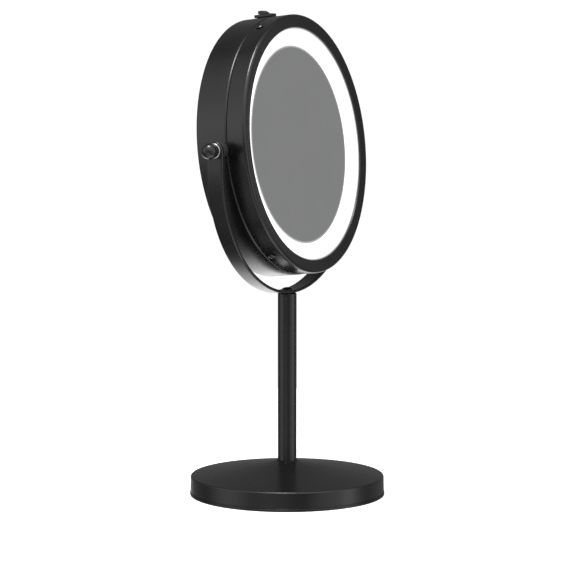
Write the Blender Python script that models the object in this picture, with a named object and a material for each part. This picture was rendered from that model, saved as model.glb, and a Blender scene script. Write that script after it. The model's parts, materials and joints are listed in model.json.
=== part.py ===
"""Double-sided pedestal shaving mirror with a battery-lit ring.

A round head hangs between the ends of a U-shaped yoke, which stands on a stem and a weighted
round base. Units are metres, +Z is up, the origin is the centre of the base's underside, and
the lit side of the head faces -Y. The head's pivot axis runs along X.
Run it with: blender --background --python part.py
"""

import math

import bmesh
import bpy
from mathutils import Matrix, Vector

MM = 0.001
GAP = 0.3 * MM                      # clearance between pieces that touch or slide

# Driving dimensions of the stand
BASE_RADIUS = 66.9 * MM             # at the foot of the rim
BASE_RIM_RADIUS = 66.4 * MM         # at the top of the rim
BASE_RIM_HEIGHT = 13.0 * MM
BASE_CONE_HEIGHT = 23.0 * MM        # where the shallow cone meets the stem
SHEET_THICKNESS = 1.2 * MM          # pressed steel of the base cover
PAD_THICKNESS = 1.2 * MM
STEM_RADIUS = 6.45 * MM
STEM_WALL = 1.0 * MM
STEM_TOP = 138.25 * MM
PIVOT_HEIGHT = 239.0 * MM
HEAD_TILT = math.radians(6.1)       # the lit side looks slightly upwards

# Driving dimensions of the yoke, a flat strap bent to a U
YOKE_HALF_SPAN = 99.3 * MM          # outer half width at the pivots
YOKE_BOTTOM = 138.85 * MM           # underside of the strap on the stem
YOKE_ARC_HEIGHT = 229.2 * MM        # where the straight legs start
STRAP_THICKNESS = 2.1 * MM
STRAP_HALF_WIDTH = 5.8 * MM

# Driving dimensions of the head. "Depth" runs along the head's own axis: 0 is the pivot axis,
# positive is towards the lit side.
REAR_SHELL_RADIUS = 87.75 * MM
FRONT_SHELL_RADIUS = 87.5 * MM
REAR_FACE = -19.7 * MM
SHELL_JOINT = 3.2 * MM              # where the two casing shells meet
FRONT_FACE = 17.0 * MM
SHELL_WALL = 1.5 * MM
BEZEL_INNER_RADIUS = 78.6 * MM
BEZEL_DISH = 1.3 * MM               # the bezel slopes inwards by this much
BEZEL_LIP = 0.8 * MM                # its thickness at the light ring
MIRROR_RADIUS = 67.5 * MM
MIRROR_FACE = 9.9 * MM
MIRROR_GLASS = 3.33 * MM
COVER_RADIUS = 78.2 * MM            # pull-off cover that carries the magnifying mirror
COVER_OPENING = 73.0 * MM

# Fasteners and bores
STUD_RADIUS = 2.5 * MM
STUD_HEAD_RADIUS = 4.2 * MM
KNOB_BORE_DEPTH = 5.8 * MM
SCREW_BORE = 1.55 * MM
BOLT_RADIUS = 3.0 * MM
BORE_CLEARANCE = 0.3 * MM
BAND_SCREW_ANGLES = [math.radians(25.0 + 120.0 * k) for k in range(3)]
BAND_SCREW_DEPTH = 7.7 * MM

# Slide switch on top of the head
SWITCH_TRAVEL = 2.5 * MM
SWITCH_REAR = -14.0 * MM
SWITCH_FRONT = -0.9 * MM
SWITCH_HALF_WIDTH = 4.5 * MM
SWITCH_TOP = 90.0 * MM              # outer face of its plate, from the pivot axis
SLIDER_REAR = -11.2 * MM            # with the light on, the slider is at its rear end
SLIDER_NECK_REAR = -9.6 * MM
SLIDER_NECK_LENGTH = 2.6 * MM

# Power: AAA cells side by side
CELL_RADIUS = 5.25 * MM
CELL_BODY = 43.3 * MM
CELL_LENGTH = 44.5 * MM
CELL_PITCH = 11.4 * MM
CELL_DEPTH = -3.2 * MM
CELL_COUNT = 3
CONTACT_THICKNESS = 0.4 * MM
TRAY_HALF_LENGTH = 26.0 * MM        # inside, along the cells
TRAY_WALL = 1.4 * MM
TRAY_BACK = 3.9 * MM                # depth of the face on the reflector tray
TRAY_FLOOR = 2.4 * MM
TRAY_RIM = -9.2 * MM
TRAY_SCREW_OFFSET = 32.0 * MM
LED_COUNT = 18
LEAD_RADIUS = 0.6 * MM
LEAD_PASSAGES = [(-15.0 * MM, 69.0 * MM), (-61.0 * MM, -35.0 * MM)]

LARGE_STEPS = 40                    # facets round the head and the base
SMALL_STEPS = 16                    # facets round screws, bores and spacers


# ---------------------------------------------------------------- scene helpers

def clear_scene():
    for obj in list(bpy.data.objects):
        bpy.data.objects.remove(obj, do_unlink=True)


def make_material(name, colour, roughness, metallic=0.0, transmission=0.0, glow=0.0):
    material = bpy.data.materials.new(name)
    material.use_nodes = True
    shader = material.node_tree.nodes["Principled BSDF"]
    shader.inputs["Base Color"].default_value = (*colour, 1.0)
    shader.inputs["Roughness"].default_value = roughness
    shader.inputs["Metallic"].default_value = metallic
    shader.inputs["Transmission Weight"].default_value = transmission
    shader.inputs["Emission Color"].default_value = (1.0, 0.98, 0.95, 1.0)
    shader.inputs["Emission Strength"].default_value = glow
    return material


def make_materials():
    return {
        "black_paint": make_material("black_paint", (0.022, 0.022, 0.023), 0.42, 0.3),
        "black_plastic": make_material("black_plastic", (0.02, 0.02, 0.02), 0.5),
        "white_plastic": make_material("white_plastic", (0.82, 0.82, 0.8), 0.45),
        "opal_diffuser": make_material("opal_diffuser", (0.95, 0.95, 0.94), 0.5, glow=3.0),
        "mirror_silver": make_material("mirror_silver", (0.86, 0.87, 0.88), 0.02, 1.0),
        "steel": make_material("steel", (0.6, 0.6, 0.6), 0.3, 1.0),
        "brass": make_material("brass", (0.7, 0.5, 0.22), 0.3, 1.0),
        "cast_iron": make_material("cast_iron", (0.1, 0.1, 0.1), 0.7, 0.6),
        "rubber": make_material("rubber", (0.03, 0.03, 0.03), 0.85),
        "nylon": make_material("nylon", (0.05, 0.05, 0.05), 0.55),
        "foam": make_material("foam", (0.7, 0.7, 0.68), 0.9),
        "circuit_board": make_material("circuit_board", (0.8, 0.82, 0.8), 0.4),
        "cell_wrap": make_material("cell_wrap", (0.12, 0.13, 0.14), 0.35, 0.4),
        "red_wire": make_material("red_wire", (0.5, 0.03, 0.02), 0.45),
        "black_wire": make_material("black_wire", (0.02, 0.02, 0.02), 0.45),
    }


def add_object(name, shape, material, parent=None, location=(0.0, 0.0, 0.0)):
    """Make one mesh object from a bmesh, with its faces pointing out."""
    bmesh.ops.recalc_face_normals(shape, faces=shape.faces)
    if shape.calc_volume(signed=True) < 0.0:
        bmesh.ops.reverse_faces(shape, faces=shape.faces)
    mesh = bpy.data.meshes.new(name)
    shape.to_mesh(mesh)
    shape.free()
    mesh.shade_smooth()
    mesh.set_sharp_from_angle(angle=math.radians(35.0))
    mesh.materials.append(material)
    obj = bpy.data.objects.new(name, mesh)
    bpy.context.scene.collection.objects.link(obj)
    obj.parent = parent
    obj.location = location
    return obj


def add_boolean(target, shape, operation="DIFFERENCE", location=(0.0, 0.0, 0.0)):
    """Cut a bmesh out of an object, or join it on, with a hidden helper in the same frame."""
    helper = add_object(f"helper_{target.name}", shape, target.data.materials[0], target.parent, location)
    helper.hide_render = True
    helper.display_type = "WIRE"
    modifier = target.modifiers.new(operation.lower(), "BOOLEAN")
    modifier.operation = operation
    modifier.object = helper


def add_empty(name, location, rotation=(0.0, 0.0, 0.0)):
    empty = bpy.data.objects.new(name, None)
    empty.location = location
    empty.rotation_euler = rotation
    bpy.context.scene.collection.objects.link(empty)
    return empty


# ---------------------------------------------------------------- shape helpers

def rounded(corners, steps=1):
    """Turn corners (x, y) or (x, y, radius) of a closed outline into points, with arcs."""
    points = []
    count = len(corners)
    for index, corner in enumerate(corners):
        here = Vector(corner[:2])
        if len(corner) == 2:
            points.append(here)
            continue
        before = (Vector(corners[index - 1][:2]) - here).normalized()
        after = (Vector(corners[(index + 1) % count][:2]) - here).normalized()
        half_angle = before.angle(after) / 2.0
        reach = corner[2] / math.tan(half_angle)
        centre = here + (before + after).normalized() * (corner[2] / math.sin(half_angle))
        start = here + before * reach - centre
        end = here + after * reach - centre
        for step in range(steps + 1):
            spoke = start.lerp(end, step / steps).normalized() * corner[2]
            points.append(centre + spoke)
    return points


def turned(corners, steps=LARGE_STEPS, arc_steps=1):
    """Spin a closed outline of (radius, z) about Z. Points at radius 0 close the middle."""
    shape = bmesh.new()
    rings = []
    for radius, height in rounded(corners, arc_steps):
        if radius < 1e-7:
            rings.append([shape.verts.new((0.0, 0.0, height))] * steps)
            continue
        angles = [2.0 * math.pi * k / steps for k in range(steps)]
        rings.append([shape.verts.new((radius * math.cos(a), radius * math.sin(a), height)) for a in angles])
    for index, ring in enumerate(rings):
        following = rings[(index + 1) % len(rings)]
        for k in range(steps):
            nxt = (k + 1) % steps
            corners_used = [ring[k], ring[nxt], following[nxt], following[k]]
            face = list(dict.fromkeys(corners_used))
            if len(face) > 2:
                shape.faces.new(face)
    return shape


def add_box(shape, low, high):
    """Add a closed box between two corners to a bmesh."""
    x0, y0, z0 = low
    x1, y1, z1 = high
    places = [(x0, y0, z0), (x1, y0, z0), (x1, y1, z0), (x0, y1, z0)]
    places += [(x, y, z1) for x, y, _ in places]
    verts = [shape.verts.new(place) for place in places]
    for face in ((0, 3, 2, 1), (4, 5, 6, 7), (0, 1, 5, 4), (1, 2, 6, 5), (2, 3, 7, 6), (3, 0, 4, 7)):
        shape.faces.new([verts[k] for k in face])


def box(low, high):
    shape = bmesh.new()
    add_box(shape, low, high)
    return shape


def add_rod(shape, start, end, radius, steps=SMALL_STEPS):
    """Add a closed cylinder between two points to a bmesh."""
    start = Vector(start)
    end = Vector(end)
    turn = (end - start).to_track_quat("Z", "Y").to_matrix().to_4x4()
    place = Matrix.Translation((start + end) / 2.0) @ turn
    bmesh.ops.create_cone(shape, cap_ends=True, segments=steps, radius1=radius, radius2=radius,
                          depth=(end - start).length, matrix=place)


def rod(start, end, radius, steps=SMALL_STEPS):
    shape = bmesh.new()
    add_rod(shape, start, end, radius, steps)
    return shape


def along_x(shape, side):
    """Turn a shape made along +Z so that it points along +X (side 1) or -X (side -1)."""
    bmesh.ops.rotate(shape, verts=shape.verts, matrix=Matrix.Rotation(side * math.pi / 2.0, 3, "Y"))
    return shape


def along_radius(shape, angle):
    """Turn a shape made along +Z so that it points out of the head at an angle from its top."""
    matrix = Matrix.Rotation(angle, 3, "Z") @ Matrix.Rotation(-math.pi / 2.0, 3, "X")
    bmesh.ops.rotate(shape, verts=shape.verts, matrix=matrix)
    return shape


def washer(inner, outer, low, high, steps=SMALL_STEPS):
    return turned([(inner, low), (outer, low), (outer, high), (inner, high)], steps)


# ---------------------------------------------------------------- stand

def make_base(materials):
    cover = [
        (BASE_RADIUS, 0.4 * MM, 0.5 * MM),
        (BASE_RIM_RADIUS + 0.15 * MM, 3.0 * MM),
        (BASE_RIM_RADIUS, BASE_RIM_HEIGHT, 1.1 * MM),
        (STEM_RADIUS + 2.2 * MM, BASE_CONE_HEIGHT - 0.4 * MM, 1.5 * MM),
        (STEM_RADIUS + GAP, BASE_CONE_HEIGHT + 0.6 * MM),
        (STEM_RADIUS + GAP, BASE_CONE_HEIGHT - 1.6 * MM),
        (BASE_RIM_RADIUS - SHEET_THICKNESS, BASE_RIM_HEIGHT - 1.4 * MM),
        (BASE_RADIUS - SHEET_THICKNESS, 0.4 * MM),
    ]
    add_object("base_cover", turned(cover), materials["black_paint"])
    pad = [(0.0, 0.0), (64.6 * MM, 0.0), (64.6 * MM, PAD_THICKNESS), (0.0, PAD_THICKNESS)]
    add_object("base_pad", turned(pad), materials["rubber"])
    weight = [
        (8.0 * MM, 1.5 * MM), (64.2 * MM, 1.5 * MM), (64.2 * MM, 10.4 * MM), (13.0 * MM, 10.4 * MM),
        (13.0 * MM, 16.6 * MM), (3.4 * MM, 16.6 * MM), (3.4 * MM, 6.9 * MM), (8.0 * MM, 6.9 * MM),
    ]
    add_object("base_weight", turned(weight, 40), materials["cast_iron"])
    add_object("base_washer", washer(3.4 * MM, 6.6 * MM, 5.6 * MM, 6.6 * MM), materials["steel"])
    bolt = rod((0.0, 0.0, 2.0 * MM), (0.0, 0.0, 5.3 * MM), 5.4 * MM, 6)
    base_bolt = add_object("base_bolt", bolt, materials["steel"])
    add_boolean(base_bolt, rod((0, 0, 4.5 * MM), (0, 0, 28.0 * MM), BOLT_RADIUS), "UNION")


def make_stem(materials):
    inner = STEM_RADIUS - STEM_WALL
    tube = [
        (inner, 16.9 * MM), (STEM_RADIUS, 16.9 * MM), (STEM_RADIUS, STEM_TOP, 0.8 * MM), (inner, STEM_TOP),
    ]
    add_object("stem_tube", turned(tube, 24), materials["black_paint"])
    insert = inner - GAP
    add_object("stem_foot_insert", washer(3.3 * MM, insert, 17.0 * MM, 31.0 * MM), materials["brass"])
    add_object("stem_head_insert", washer(2.8 * MM, insert, 124.5 * MM, STEM_TOP - 0.2 * MM), materials["brass"])


def strap_stations():
    """Middle line of the strap in the XZ plane, from one rounded end to the other.

    Each station is (x, z, outward normal x, outward normal z, half width)."""
    middle = YOKE_HALF_SPAN - STRAP_THICKNESS / 2.0
    drop = YOKE_ARC_HEIGHT - YOKE_BOTTOM - STRAP_THICKNESS / 2.0
    leg = []
    for k in range(5):
        rise = math.cos(math.radians(8.0 + 82.0 * k / 4.0)) * STRAP_HALF_WIDTH
        leg.append((middle, PIVOT_HEIGHT + rise, 1.0, 0.0, math.sqrt(STRAP_HALF_WIDTH ** 2 - rise ** 2)))
    arc = []
    for k in range(33):
        angle = math.pi * k / 32.0
        across, down = math.cos(angle), math.sin(angle)
        normal = Vector((across / middle, -down / drop)).normalized()
        arc.append((middle * across, YOKE_ARC_HEIGHT - drop * down, *normal, STRAP_HALF_WIDTH))
    return leg + arc + [(-x, z, -nx, nz, half) for x, z, nx, nz, half in reversed(leg)]


def make_strap():
    """Sweep a flat section with eased edges along the strap's middle line."""
    shape = bmesh.new()
    half = STRAP_THICKNESS / 2.0
    rings = []
    for x, z, normal_x, normal_z, width in strap_stations():
        ease = min(0.5 * MM, width / 2.0)
        section = [(half, width - ease), (half - ease, width), (ease - half, width), (-half, width - ease)]
        section += [(a, -b) for a, b in reversed(section)]
        rings.append([shape.verts.new((x + normal_x * a, b, z + normal_z * a)) for a, b in section])
    for ring, following in zip(rings, rings[1:]):
        for k in range(len(ring)):
            nxt = (k + 1) % len(ring)
            shape.faces.new((ring[k], ring[nxt], following[nxt], following[k]))
    shape.faces.new(rings[0])
    shape.faces.new(rings[-1])
    return shape


def make_yoke(materials):
    yoke = add_object("yoke", make_strap(), materials["black_paint"])
    bore = STUD_RADIUS + BORE_CLEARANCE
    cutter = rod((0, 0, YOKE_BOTTOM - 3 * MM), (0, 0, YOKE_BOTTOM + 5 * MM), bore)
    for side in (-1, 1):
        start = (side * (YOKE_HALF_SPAN - 6 * MM), 0, PIVOT_HEIGHT)
        add_rod(cutter, start, (side * (YOKE_HALF_SPAN + 4 * MM), 0, PIVOT_HEIGHT), bore)
    add_boolean(yoke, cutter)
    seat = YOKE_BOTTOM + STRAP_THICKNESS + GAP
    screw = [
        (0.0, 127.0 * MM), (STUD_RADIUS, 127.0 * MM), (STUD_RADIUS, seat), (4.3 * MM, seat),
        (4.3 * MM, seat + 0.5 * MM), (2.6 * MM, seat + 1.4 * MM), (0.0, seat + 1.7 * MM),
    ]
    add_object("yoke_screw", turned(screw, SMALL_STEPS), materials["black_paint"])


# ---------------------------------------------------------------- pivots

def make_pivot(side, materials, head):
    """Stud, spacer, friction washer and knob on one side. side is -1 at -X and 1 at +X."""
    suffix = "left" if side < 0 else "right"
    bore = STUD_RADIUS + BORE_CLEARANCE
    stud_head = REAR_SHELL_RADIUS - 2.05 * MM
    stud_end = YOKE_HALF_SPAN + KNOB_BORE_DEPTH
    stud = [
        (0.0, 84.0 * MM), (STUD_HEAD_RADIUS, 84.0 * MM), (STUD_HEAD_RADIUS, stud_head),
        (STUD_RADIUS, stud_head), (STUD_RADIUS, stud_end), (0.0, stud_end),
    ]
    add_object(f"pivot_stud_{suffix}", along_x(turned(stud, SMALL_STEPS), side), materials["steel"], head)
    spacer = washer(bore, 4.5 * MM, REAR_SHELL_RADIUS + 0.35 * MM, 95.9 * MM)
    add_object(f"pivot_spacer_{suffix}", along_x(spacer, side), materials["nylon"], head)
    inner_face = YOKE_HALF_SPAN - STRAP_THICKNESS
    friction = washer(bore, 6.2 * MM, inner_face - 1.0 * MM, inner_face - GAP)
    add_object(f"pivot_washer_{suffix}", along_x(friction, side), materials["nylon"], head)
    make_pivot_knob(suffix, side, materials, head)


def make_pivot_knob(suffix, side, materials, head):
    """A turned knob: a flange against the strap, a short neck and a ball, bored for the stud."""
    bore = STUD_RADIUS + BORE_CLEARANCE
    ball = 5.2 * MM
    centre = 6.0 * MM
    neck = 4.0 * MM
    profile = [
        (bore, 0.0), (5.05 * MM, 0.0, 0.45 * MM), (5.05 * MM, 1.5 * MM, 0.45 * MM), (neck, 1.5 * MM),
    ]
    start = math.asin(neck / ball)
    for k in range(7):
        angle = start + (math.pi - start) * k / 6.0
        profile.append((max(ball * math.sin(angle), 0.0), centre - ball * math.cos(angle)))
    profile[-1] = (0.0, centre + ball)
    profile += [(0.0, KNOB_BORE_DEPTH), (bore, KNOB_BORE_DEPTH)]
    knob = along_x(turned(profile, SMALL_STEPS), side)
    place = (side * (YOKE_HALF_SPAN + GAP), 0.0, 0.0)
    add_object(f"pivot_knob_{suffix}", knob, materials["black_paint"], head, place)


# ---------------------------------------------------------------- head casing

def radial_holes(radius, low, high):
    """Cutters for the three band screws."""
    cutter = bmesh.new()
    for angle in BAND_SCREW_ANGLES:
        outwards = Vector((-math.sin(angle), math.cos(angle), 0.0))
        middle = Vector((0.0, 0.0, BAND_SCREW_DEPTH))
        add_rod(cutter, middle + outwards * low, middle + outwards * high, radius, 12)
    return cutter


def make_rear_shell(materials, head):
    skirt = REAR_SHELL_RADIUS - 2.05 * MM
    inside = REAR_SHELL_RADIUS - SHELL_WALL
    opening = COVER_RADIUS + 0.4 * MM
    web = SHELL_JOINT - SHELL_WALL
    profile = [
        (REAR_SHELL_RADIUS, SHELL_JOINT, 0.4 * MM), (REAR_SHELL_RADIUS, REAR_FACE, 1.4 * MM),
        (opening, REAR_FACE, 0.6 * MM), (opening, REAR_FACE + 1.6 * MM), (inside, REAR_FACE + 1.6 * MM),
        (inside, web), (skirt - SHELL_WALL, web), (skirt - SHELL_WALL, 11.5 * MM),
        (skirt, 11.5 * MM), (skirt, SHELL_JOINT),
    ]
    shell = add_object("rear_shell", turned(profile), materials["black_paint"], head)
    notches = bmesh.new()
    openings = radial_holes(SCREW_BORE, 82.0 * MM, 88.5 * MM)
    for side in (-1, 1):
        notch_end = (side * 86.0 * MM, 0, 0)
        add_rod(notches, (side * 80 * MM, 0, 0), notch_end, STUD_HEAD_RADIUS + 0.7 * MM, 20)
        add_rod(openings, (side * 82 * MM, 0, 0), (side * 90 * MM, 0, 0), STUD_RADIUS + BORE_CLEARANCE, 20)
    rear, front = switch_slot()
    add_box(openings, (-1.7 * MM, 84.0 * MM, rear), (1.7 * MM, 90.0 * MM, front))
    add_boolean(shell, notches)
    add_boolean(shell, openings)


def make_front_shell(materials, head):
    inside = FRONT_SHELL_RADIUS - SHELL_WALL
    lip = FRONT_FACE - BEZEL_DISH
    profile = [
        (FRONT_SHELL_RADIUS, SHELL_JOINT + 0.5 * MM, 0.8 * MM), (inside, SHELL_JOINT + 0.5 * MM),
        (inside, FRONT_FACE - SHELL_WALL), (BEZEL_INNER_RADIUS, lip - BEZEL_LIP),
        (BEZEL_INNER_RADIUS, lip, 0.4 * MM), (FRONT_SHELL_RADIUS, FRONT_FACE, 1.8 * MM),
    ]
    shell = add_object("front_shell", turned(profile), materials["black_paint"], head)
    add_boolean(shell, radial_holes(SCREW_BORE, 84.5 * MM, 90.0 * MM))


def make_band_screws(materials, head):
    """Dome-headed screws through the front band into the rear shell's skirt."""
    seat = FRONT_SHELL_RADIUS + GAP
    profile = [
        (0.0, 84.3 * MM), (1.25 * MM, 84.3 * MM), (1.25 * MM, seat), (2.5 * MM, seat),
        (2.5 * MM, seat + 0.3 * MM), (1.7 * MM, seat + 1.0 * MM), (0.0, seat + 1.3 * MM),
    ]
    for number, angle in enumerate(BAND_SCREW_ANGLES, 1):
        screw = along_radius(turned(profile, 16), angle)
        place = (0.0, 0.0, BAND_SCREW_DEPTH)
        add_object(f"band_screw_{number}", screw, materials["black_paint"], head, place)


# ---------------------------------------------------------------- lit side

def make_light_ring(materials, head):
    """Opal diffuser: a cone from the bezel down to the mirror, with a rim under the bezel."""
    top = FRONT_FACE - BEZEL_DISH - BEZEL_LIP - GAP
    profile = [
        (MIRROR_RADIUS + GAP, MIRROR_FACE), (BEZEL_INNER_RADIUS - 0.3 * MM, top), (83.5 * MM, top),
        (83.5 * MM, top - 1.6 * MM), (79.2 * MM, top - 1.6 * MM), (MIRROR_RADIUS + GAP, MIRROR_FACE - 1.8 * MM),
    ]
    add_object("light_ring", turned(profile), materials["opal_diffuser"], head)


def make_reflector_tray(materials, head):
    """White dish: a raised middle carries the mirror, the trough round it holds the LED ring."""
    profile = [
        (0.0, 5.4 * MM), (65.2 * MM, 5.4 * MM), (65.2 * MM, 2.9 * MM), (82.2 * MM, 2.9 * MM),
        (82.2 * MM, 12.6 * MM), (83.7 * MM, 12.6 * MM), (83.7 * MM, 1.7 * MM), (64.0 * MM, 1.7 * MM),
        (64.0 * MM, 4.2 * MM), (0.0, 4.2 * MM),
    ]
    tray = add_object("reflector_tray", turned(profile), materials["white_plastic"], head)
    cutter = bmesh.new()
    for side in (-1, 1):
        screw = (side * TRAY_SCREW_OFFSET, 0.0)
        add_rod(cutter, (*screw, 3.0 * MM), (*screw, 6.5 * MM), SCREW_BORE, 12)
    for place in LEAD_PASSAGES:
        add_rod(cutter, (*place, 1.0 * MM), (*place, 3.1 * MM), LEAD_RADIUS + BORE_CLEARANCE, 10)
    add_boolean(tray, cutter)


def make_led_board(materials, head):
    ring = [(66.6 * MM, 3.2 * MM), (81.0 * MM, 3.2 * MM), (81.0 * MM, 4.2 * MM), (66.6 * MM, 4.2 * MM)]
    board = add_object("led_board", turned(ring), materials["circuit_board"], head)
    chips = bmesh.new()
    for k in range(LED_COUNT):
        chip = box((72.3 * MM, -1.75 * MM, 4.0 * MM), (75.1 * MM, 1.75 * MM, 5.1 * MM))
        turn = Matrix.Rotation(2.0 * math.pi * (k + 0.5) / LED_COUNT, 3, "Z")
        bmesh.ops.rotate(chip, verts=chip.verts, matrix=turn)
        mesh = bpy.data.meshes.new("chip")
        chip.to_mesh(mesh)
        chip.free()
        chips.from_mesh(mesh)
        bpy.data.meshes.remove(mesh)
    add_boolean(board, chips, "UNION")


def make_front_mirror(materials, head):
    back = MIRROR_FACE - MIRROR_GLASS
    glass = [(0.0, back), (MIRROR_RADIUS, back), (MIRROR_RADIUS, MIRROR_FACE, 0.4 * MM), (0.0, MIRROR_FACE)]
    add_object("front_mirror", turned(glass), materials["mirror_silver"], head)
    pad = [(0.0, 5.7 * MM), (60.0 * MM, 5.7 * MM), (60.0 * MM, back - GAP), (0.0, back - GAP)]
    add_object("mirror_pad", turned(pad, 40), materials["foam"], head)


# ---------------------------------------------------------------- rear side

def make_rear_cover(materials, head):
    """Pull-off ring that carries the magnifying mirror and a flat backing plate."""
    face = REAR_FACE + 0.2 * MM
    inside = COVER_RADIUS - SHELL_WALL
    ring = [
        (COVER_RADIUS, face, 0.5 * MM), (COVER_RADIUS, -9.9 * MM), (inside, -9.9 * MM),
        (inside, face + 1.4 * MM), (COVER_OPENING, face + 1.4 * MM), (COVER_OPENING, face, 0.6 * MM),
    ]
    add_object("rear_cover", turned(ring), materials["black_paint"], head)
    edge = 75.9 * MM
    sag = 3.4 * MM
    outer_edge = face + 1.7 * MM
    bowl = []
    for k in range(5):
        radius = edge * k / 4.0
        bowl.append((radius, outer_edge + sag * (1.0 - (radius / edge) ** 2)))
    glass = [(0.0, outer_edge + sag + 2.4 * MM)] + bowl
    glass += [(radius, depth + 2.4 * MM) for radius, depth in reversed(bowl[1:])]
    add_object("magnifying_mirror", turned(glass), materials["mirror_silver"], head)
    backing = [(0.0, -11.5 * MM), (76.3 * MM, -11.5 * MM), (76.3 * MM, -10.3 * MM), (0.0, -10.3 * MM)]
    add_object("mirror_backing", turned(backing), materials["black_plastic"], head)


# ---------------------------------------------------------------- battery tray

def cell_row(index):
    """Height of a cell's middle in the head's plane."""
    return (index - (CELL_COUNT - 1) / 2.0) * CELL_PITCH


def make_battery_tray(materials, head):
    """Open box on the back of the reflector tray, with an ear and a screw at each end."""
    half_width = CELL_COUNT * CELL_PITCH / 2.0 + 0.4 * MM
    outer_length = TRAY_HALF_LENGTH + TRAY_WALL
    outer_width = half_width + TRAY_WALL
    shape = box((-outer_length, -outer_width, TRAY_RIM), (outer_length, outer_width, TRAY_BACK))
    tray = add_object("battery_tray", shape, materials["black_plastic"], head)
    hollow_end = (TRAY_HALF_LENGTH, half_width, TRAY_FLOOR)
    add_boolean(tray, box((-TRAY_HALF_LENGTH, -half_width, TRAY_RIM - 2.0 * MM), hollow_end))
    ears = bmesh.new()
    holes = bmesh.new()
    for side in (-1, 1):
        near, far = sorted((side * (TRAY_HALF_LENGTH + 0.7 * MM), side * 36.0 * MM))
        add_box(ears, (near, -5.0 * MM, TRAY_FLOOR - 0.1 * MM), (far, 5.0 * MM, TRAY_BACK - 0.05 * MM))
        screw = (side * TRAY_SCREW_OFFSET, 0.0)
        add_rod(holes, (*screw, 0.0), (*screw, 6.0 * MM), SCREW_BORE, 12)
        row = cell_row(CELL_COUNT - 1 if side > 0 else 0)
        wall = (side * (TRAY_HALF_LENGTH - 1.0 * MM), row, CELL_DEPTH)
        add_rod(holes, wall, (side * (outer_length + 1.0 * MM), row, CELL_DEPTH), LEAD_RADIUS + BORE_CLEARANCE, 10)
    add_boolean(tray, ears, "UNION")
    add_boolean(tray, holes)


def make_tray_screws(materials, head):
    """Screws from the open side, through the tray's ears into the reflector tray."""
    seat = TRAY_FLOOR - 0.1 * MM - GAP
    profile = [
        (0.0, seat - 1.3 * MM), (1.8 * MM, seat - 1.0 * MM), (2.6 * MM, seat), (1.25 * MM, seat),
        (1.25 * MM, 5.2 * MM), (0.0, 5.2 * MM),
    ]
    for suffix, side in (("left", -1), ("right", 1)):
        place = (side * TRAY_SCREW_OFFSET, 0.0, 0.0)
        add_object(f"tray_screw_{suffix}", turned(profile, 16), materials["steel"], head, place)


def make_cells(materials, head):
    """Three cells in series, turned end for end, each pressed on its plate by a spring."""
    nub = CELL_LENGTH - CELL_BODY
    profile = [
        (0.0, 0.0), (CELL_RADIUS, 0.0, 0.5 * MM), (CELL_RADIUS, CELL_BODY, 0.5 * MM),
        (1.9 * MM, CELL_BODY), (1.9 * MM, CELL_LENGTH), (0.0, CELL_LENGTH),
    ]
    plate = TRAY_HALF_LENGTH - GAP - CONTACT_THICKNESS
    for index in range(CELL_COUNT):
        side = 1 if index % 2 == 0 else -1
        foot = plate - GAP - CELL_LENGTH
        place = (side * foot, cell_row(index), CELL_DEPTH)
        cell = along_x(turned(profile, SMALL_STEPS), side)
        add_object(f"battery_{index + 1}", cell, materials["cell_wrap"], head, place)
        spring = along_x(make_spring(plate + foot - 2.0 * GAP), side)
        place = (-side * (plate - GAP), cell_row(index), CELL_DEPTH)
        add_object(f"battery_spring_{index + 1}", spring, materials["steel"], head, place)


def make_spring(length):
    """Conical coil spring, wide at the plate and narrow at the cell."""
    turns = 3.5
    count = 21
    wire = 0.35 * MM
    sides = 4
    shape = bmesh.new()
    rings = []
    for k in range(count + 1):
        share = k / count
        angle = 2.0 * math.pi * turns * share
        radius = 3.6 * MM - 1.6 * MM * share
        outwards = Vector((math.cos(angle), math.sin(angle), 0.0))
        middle = outwards * radius + Vector((0.0, 0.0, wire + (length - 2.0 * wire) * share))
        ring = []
        for j in range(sides):
            turn = 2.0 * math.pi * j / sides
            offset = outwards * math.cos(turn) + Vector((0.0, 0.0, math.sin(turn)))
            ring.append(shape.verts.new(middle + offset * wire))
        rings.append(ring)
    for ring, following in zip(rings, rings[1:]):
        for j in range(sides):
            nxt = (j + 1) % sides
            shape.faces.new((ring[j], ring[nxt], following[nxt], following[j]))
    shape.faces.new(rings[0])
    shape.faces.new(rings[-1])
    return shape


def make_contacts(materials, head):
    """End plates: one for each pole of the battery, and one bridge at each end."""
    half = CELL_PITCH / 2.0 - 0.6 * MM
    rows = {
        "contact_minus": (-1, 0, 0), "contact_bridge_left": (-1, 1, 2),
        "contact_bridge_right": (1, 0, 1), "contact_plus": (1, 2, 2),
    }
    for name, (side, first, last) in rows.items():
        near, far = sorted((side * (TRAY_HALF_LENGTH - GAP), side * (TRAY_HALF_LENGTH - GAP - CONTACT_THICKNESS)))
        low = (near, cell_row(first) - half, CELL_DEPTH - 4.5 * MM)
        high = (far, cell_row(last) + half, CELL_DEPTH + 4.5 * MM)
        add_object(name, box(low, high), materials["steel"], head)


# ---------------------------------------------------------------- switch

def switch_slot():
    """Rear and front end of the slot that the slider's neck moves in."""
    return SLIDER_NECK_REAR - 0.5 * MM, SLIDER_NECK_REAR + SLIDER_NECK_LENGTH + SWITCH_TRAVEL + 0.5 * MM


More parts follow.
